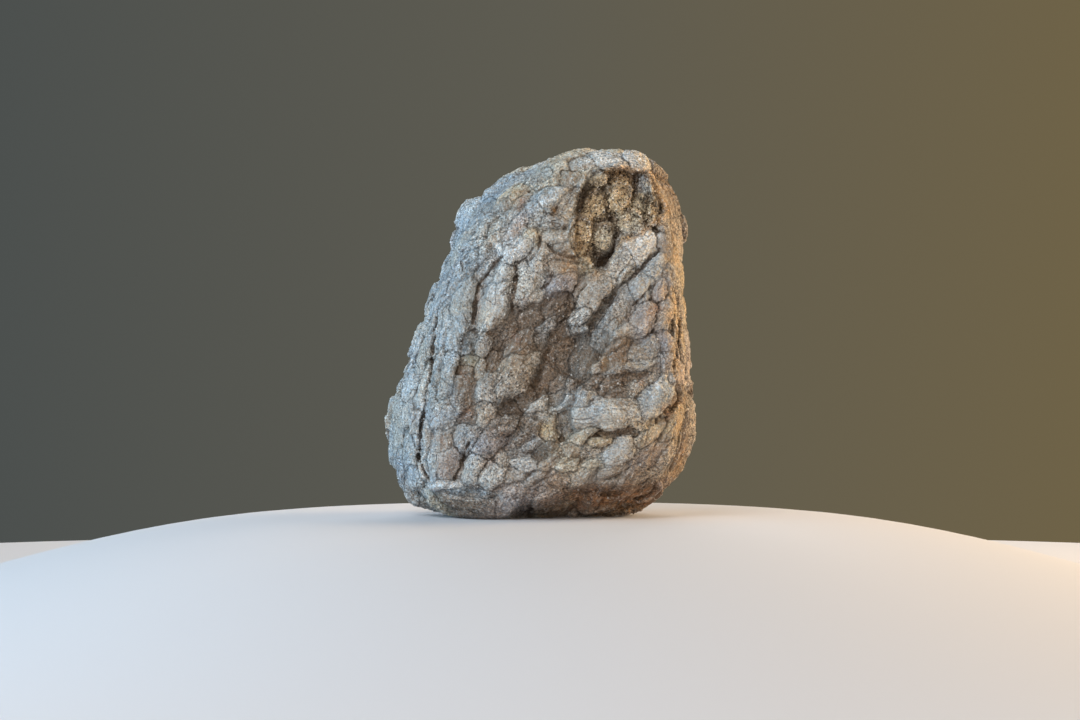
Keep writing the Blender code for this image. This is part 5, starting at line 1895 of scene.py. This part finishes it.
    def piece(self, name: str, mesh: bpy.types.Mesh,
              finish: bpy.types.Material | None) -> bpy.types.Object:
        """Makes a finished mesh an object that rides with the stone's body.

        Args:
            name: The object's name.
            mesh: Its mesh.
            finish: Its material, where the mesh has none yet.

        Returns:
            The object.
        """
        if finish is not None:
            mesh.materials.clear()
            mesh.materials.append(finish)
            mesh.shade_smooth()
        thing = bpy.data.objects.new(name, mesh)
        thing.data.name = name
        bpy.context.scene.collection.objects.link(thing)
        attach(thing, BODY)
        LOG.info("%s: %d points, %d faces", name, len(mesh.vertices), len(mesh.polygons))
        return thing


@dataclass
class Floor:
    """A plain pale floor with a gentle rise on which the stone stands, in metres."""

    radius: float = 0.40
    level: float = 0.055
    reach: float = 0.16
    drop: float = 0.030
    rings: int = 60
    spokes: int = 96
    colour: Colour = (0.62, 0.615, 0.65, 1.0)
    roughness: float = 0.9

    def height(self, away: float) -> float:
        """The floor's height at a distance from its middle."""
        share = min(max((away - self.level) / self.reach, 0.0), 1.0)
        return -self.drop * share * share * (3.0 - 2.0 * share)

    def build(self) -> bpy.types.Object:
        """Builds the floor as rings round its middle.

        Returns:
            The floor.
        """
        shape = bmesh.new()
        middle = shape.verts.new((0.0, 0.0, 0.0))
        rows = []
        for ring in range(1, self.rings + 1):
            away = self.radius * ring / self.rings
            rows.append([shape.verts.new((away * math.cos(turn), away * math.sin(turn),
                                          self.height(away)))
                         for turn in np.arange(self.spokes) * 2.0 * math.pi / self.spokes])
        for spoke in range(self.spokes):
            after = (spoke + 1) % self.spokes
            shape.faces.new((middle, rows[0][spoke], rows[0][after]))
            for inner, outer in zip(rows, rows[1:]):
                shape.faces.new((inner[spoke], outer[spoke], outer[after], inner[after]))
        mesh = bpy.data.meshes.new("floor")
        shape.to_mesh(mesh)
        shape.free()
        mesh.shade_smooth()
        mesh.materials.append(self.material())
        floor = bpy.data.objects.new("floor", mesh)
        bpy.context.scene.collection.objects.link(floor)
        return floor

    def material(self) -> bpy.types.Material:
        """A pale matt finish."""
        material = bpy.data.materials.new("pale_floor")
        material.use_nodes = True
        shader = material.node_tree.nodes["Principled BSDF"]
        shader.inputs["Base Color"].default_value = self.colour
        shader.inputs["Roughness"].default_value = self.roughness
        return material


class SoftLight(NamedTuple):
    """A soft square light: its place in metres, its size, power and colour."""

    name: str
    place: tuple[float, float, float]
    size: float
    power: float
    colour: tuple[float, float, float]


@dataclass
class Studio:
    """The camera, the soft lights, the backdrop and the floor."""

    eye: Eye
    shift: Array
    lens: float = 90.0
    sensor: float = 36.0
    nearest: float = 0.01
    aim: tuple[float, float, float] = (0.0, 0.0, 0.04)
    backdrop_run: Span = (-0.2, 0.2, 0.0, 1.0)
    backdrop_left: Colour = (0.072, 0.080, 0.077, 1.0)
    backdrop_middle: Colour = (0.112, 0.106, 0.082, 1.0)
    backdrop_right: Colour = (0.158, 0.124, 0.064, 1.0)
    lights: tuple[SoftLight, ...] = (
        SoftLight("key", (-0.28, -0.48, 0.44), 0.36, 2.5, (0.94, 0.97, 1.0)),
        SoftLight("window", (-0.55, 0.02, 0.32), 0.50, 1.65, (0.44, 0.75, 1.0)),
        SoftLight("low_bounce", (-0.40, -0.20, 0.01), 0.30, 1.25, (0.46, 0.76, 1.0)),
        SoftLight("warm_lamp", (0.50, 0.14, 0.18), 0.30, 3.6, (1.0, 0.72, 0.42)),
        SoftLight("front_fill", (0.14, -0.80, 0.16), 0.60, 1.9, (1.0, 0.94, 0.87)),
        SoftLight("back_fill", (0.05, 0.80, 0.40), 0.60, 4.0, (1.0, 0.97, 0.94)),
    )

    def build(self) -> None:
        """Builds the studio."""
        Floor().build()
        for light in self.lights:
            self.light(light)
        self.backdrop()
        self.camera()

    def light(self, spec: SoftLight) -> None:
        """Sets up one soft light that looks at the stone."""
        lamp = bpy.data.lights.new(spec.name, "AREA")
        lamp.size = spec.size
        lamp.energy = spec.power
        lamp.color = spec.colour
        holder = bpy.data.objects.new(spec.name, lamp)
        holder.location = spec.place
        way = Vector(self.aim) - Vector(spec.place)
        holder.rotation_euler = way.to_track_quat("-Z", "Y").to_euler()
        bpy.context.scene.collection.objects.link(holder)

    def backdrop(self) -> None:
        """A plain soft backdrop, cool on the left and warm on the right."""
        world = bpy.data.worlds.new("backdrop")
        bpy.context.scene.world = world
        world.use_nodes = True
        sheet = TreeSheet(world.node_tree)
        ground = world.node_tree.nodes["Background"]
        way = sheet.add("ShaderNodeTexCoord").outputs["Generated"]
        across = sheet.add("ShaderNodeSeparateXYZ", {0: way}).outputs[0]
        ramp = sheet.add("ShaderNodeValToRGB", {0: sheet.span(across, *self.backdrop_run)})
        stops = ramp.color_ramp.elements
        stops[0].color = self.backdrop_left
        stops[1].color = self.backdrop_right
        stops.new(0.5).color = self.backdrop_middle
        sheet.feed(ground.inputs["Color"], ramp.outputs[0])

    def camera(self) -> None:
        """The camera at the eye, level."""
        camera = bpy.data.cameras.new("camera")
        camera.lens = self.lens
        camera.sensor_width = self.sensor
        camera.clip_start = self.nearest
        holder = bpy.data.objects.new("camera", camera)
        holder.location = (np.array(self.eye.place) + self.shift) * MM
        holder.rotation_euler = (math.pi / 2.0, 0.0, 0.0)
        bpy.context.scene.collection.objects.link(holder)
        bpy.context.scene.camera = holder


def corners(box: Iterable[Vector]) -> list[list[float]]:
    """A box's corners as plain lists of numbers."""
    return [[float(value) for value in corner] for corner in box]


def main() -> None:
    """Builds the stone, its crystals and the studio."""
    logging.basicConfig(level=logging.INFO, format="%(message)s")
    bpy.context.scene.view_settings.view_transform = "Standard"
    eye = Eye()
    carving = Carving(eye)
    coral = FossilCoral(eye, LumpField(eye), carving, Colouring(eye, carving))
    stone, grains = coral.build()
    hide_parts(NODE)
    LOG.info("pieces: %s, %s", stone.name, grains.name)
    Studio(eye, coral.shift).build()


if __name__ == "__main__":
    main()
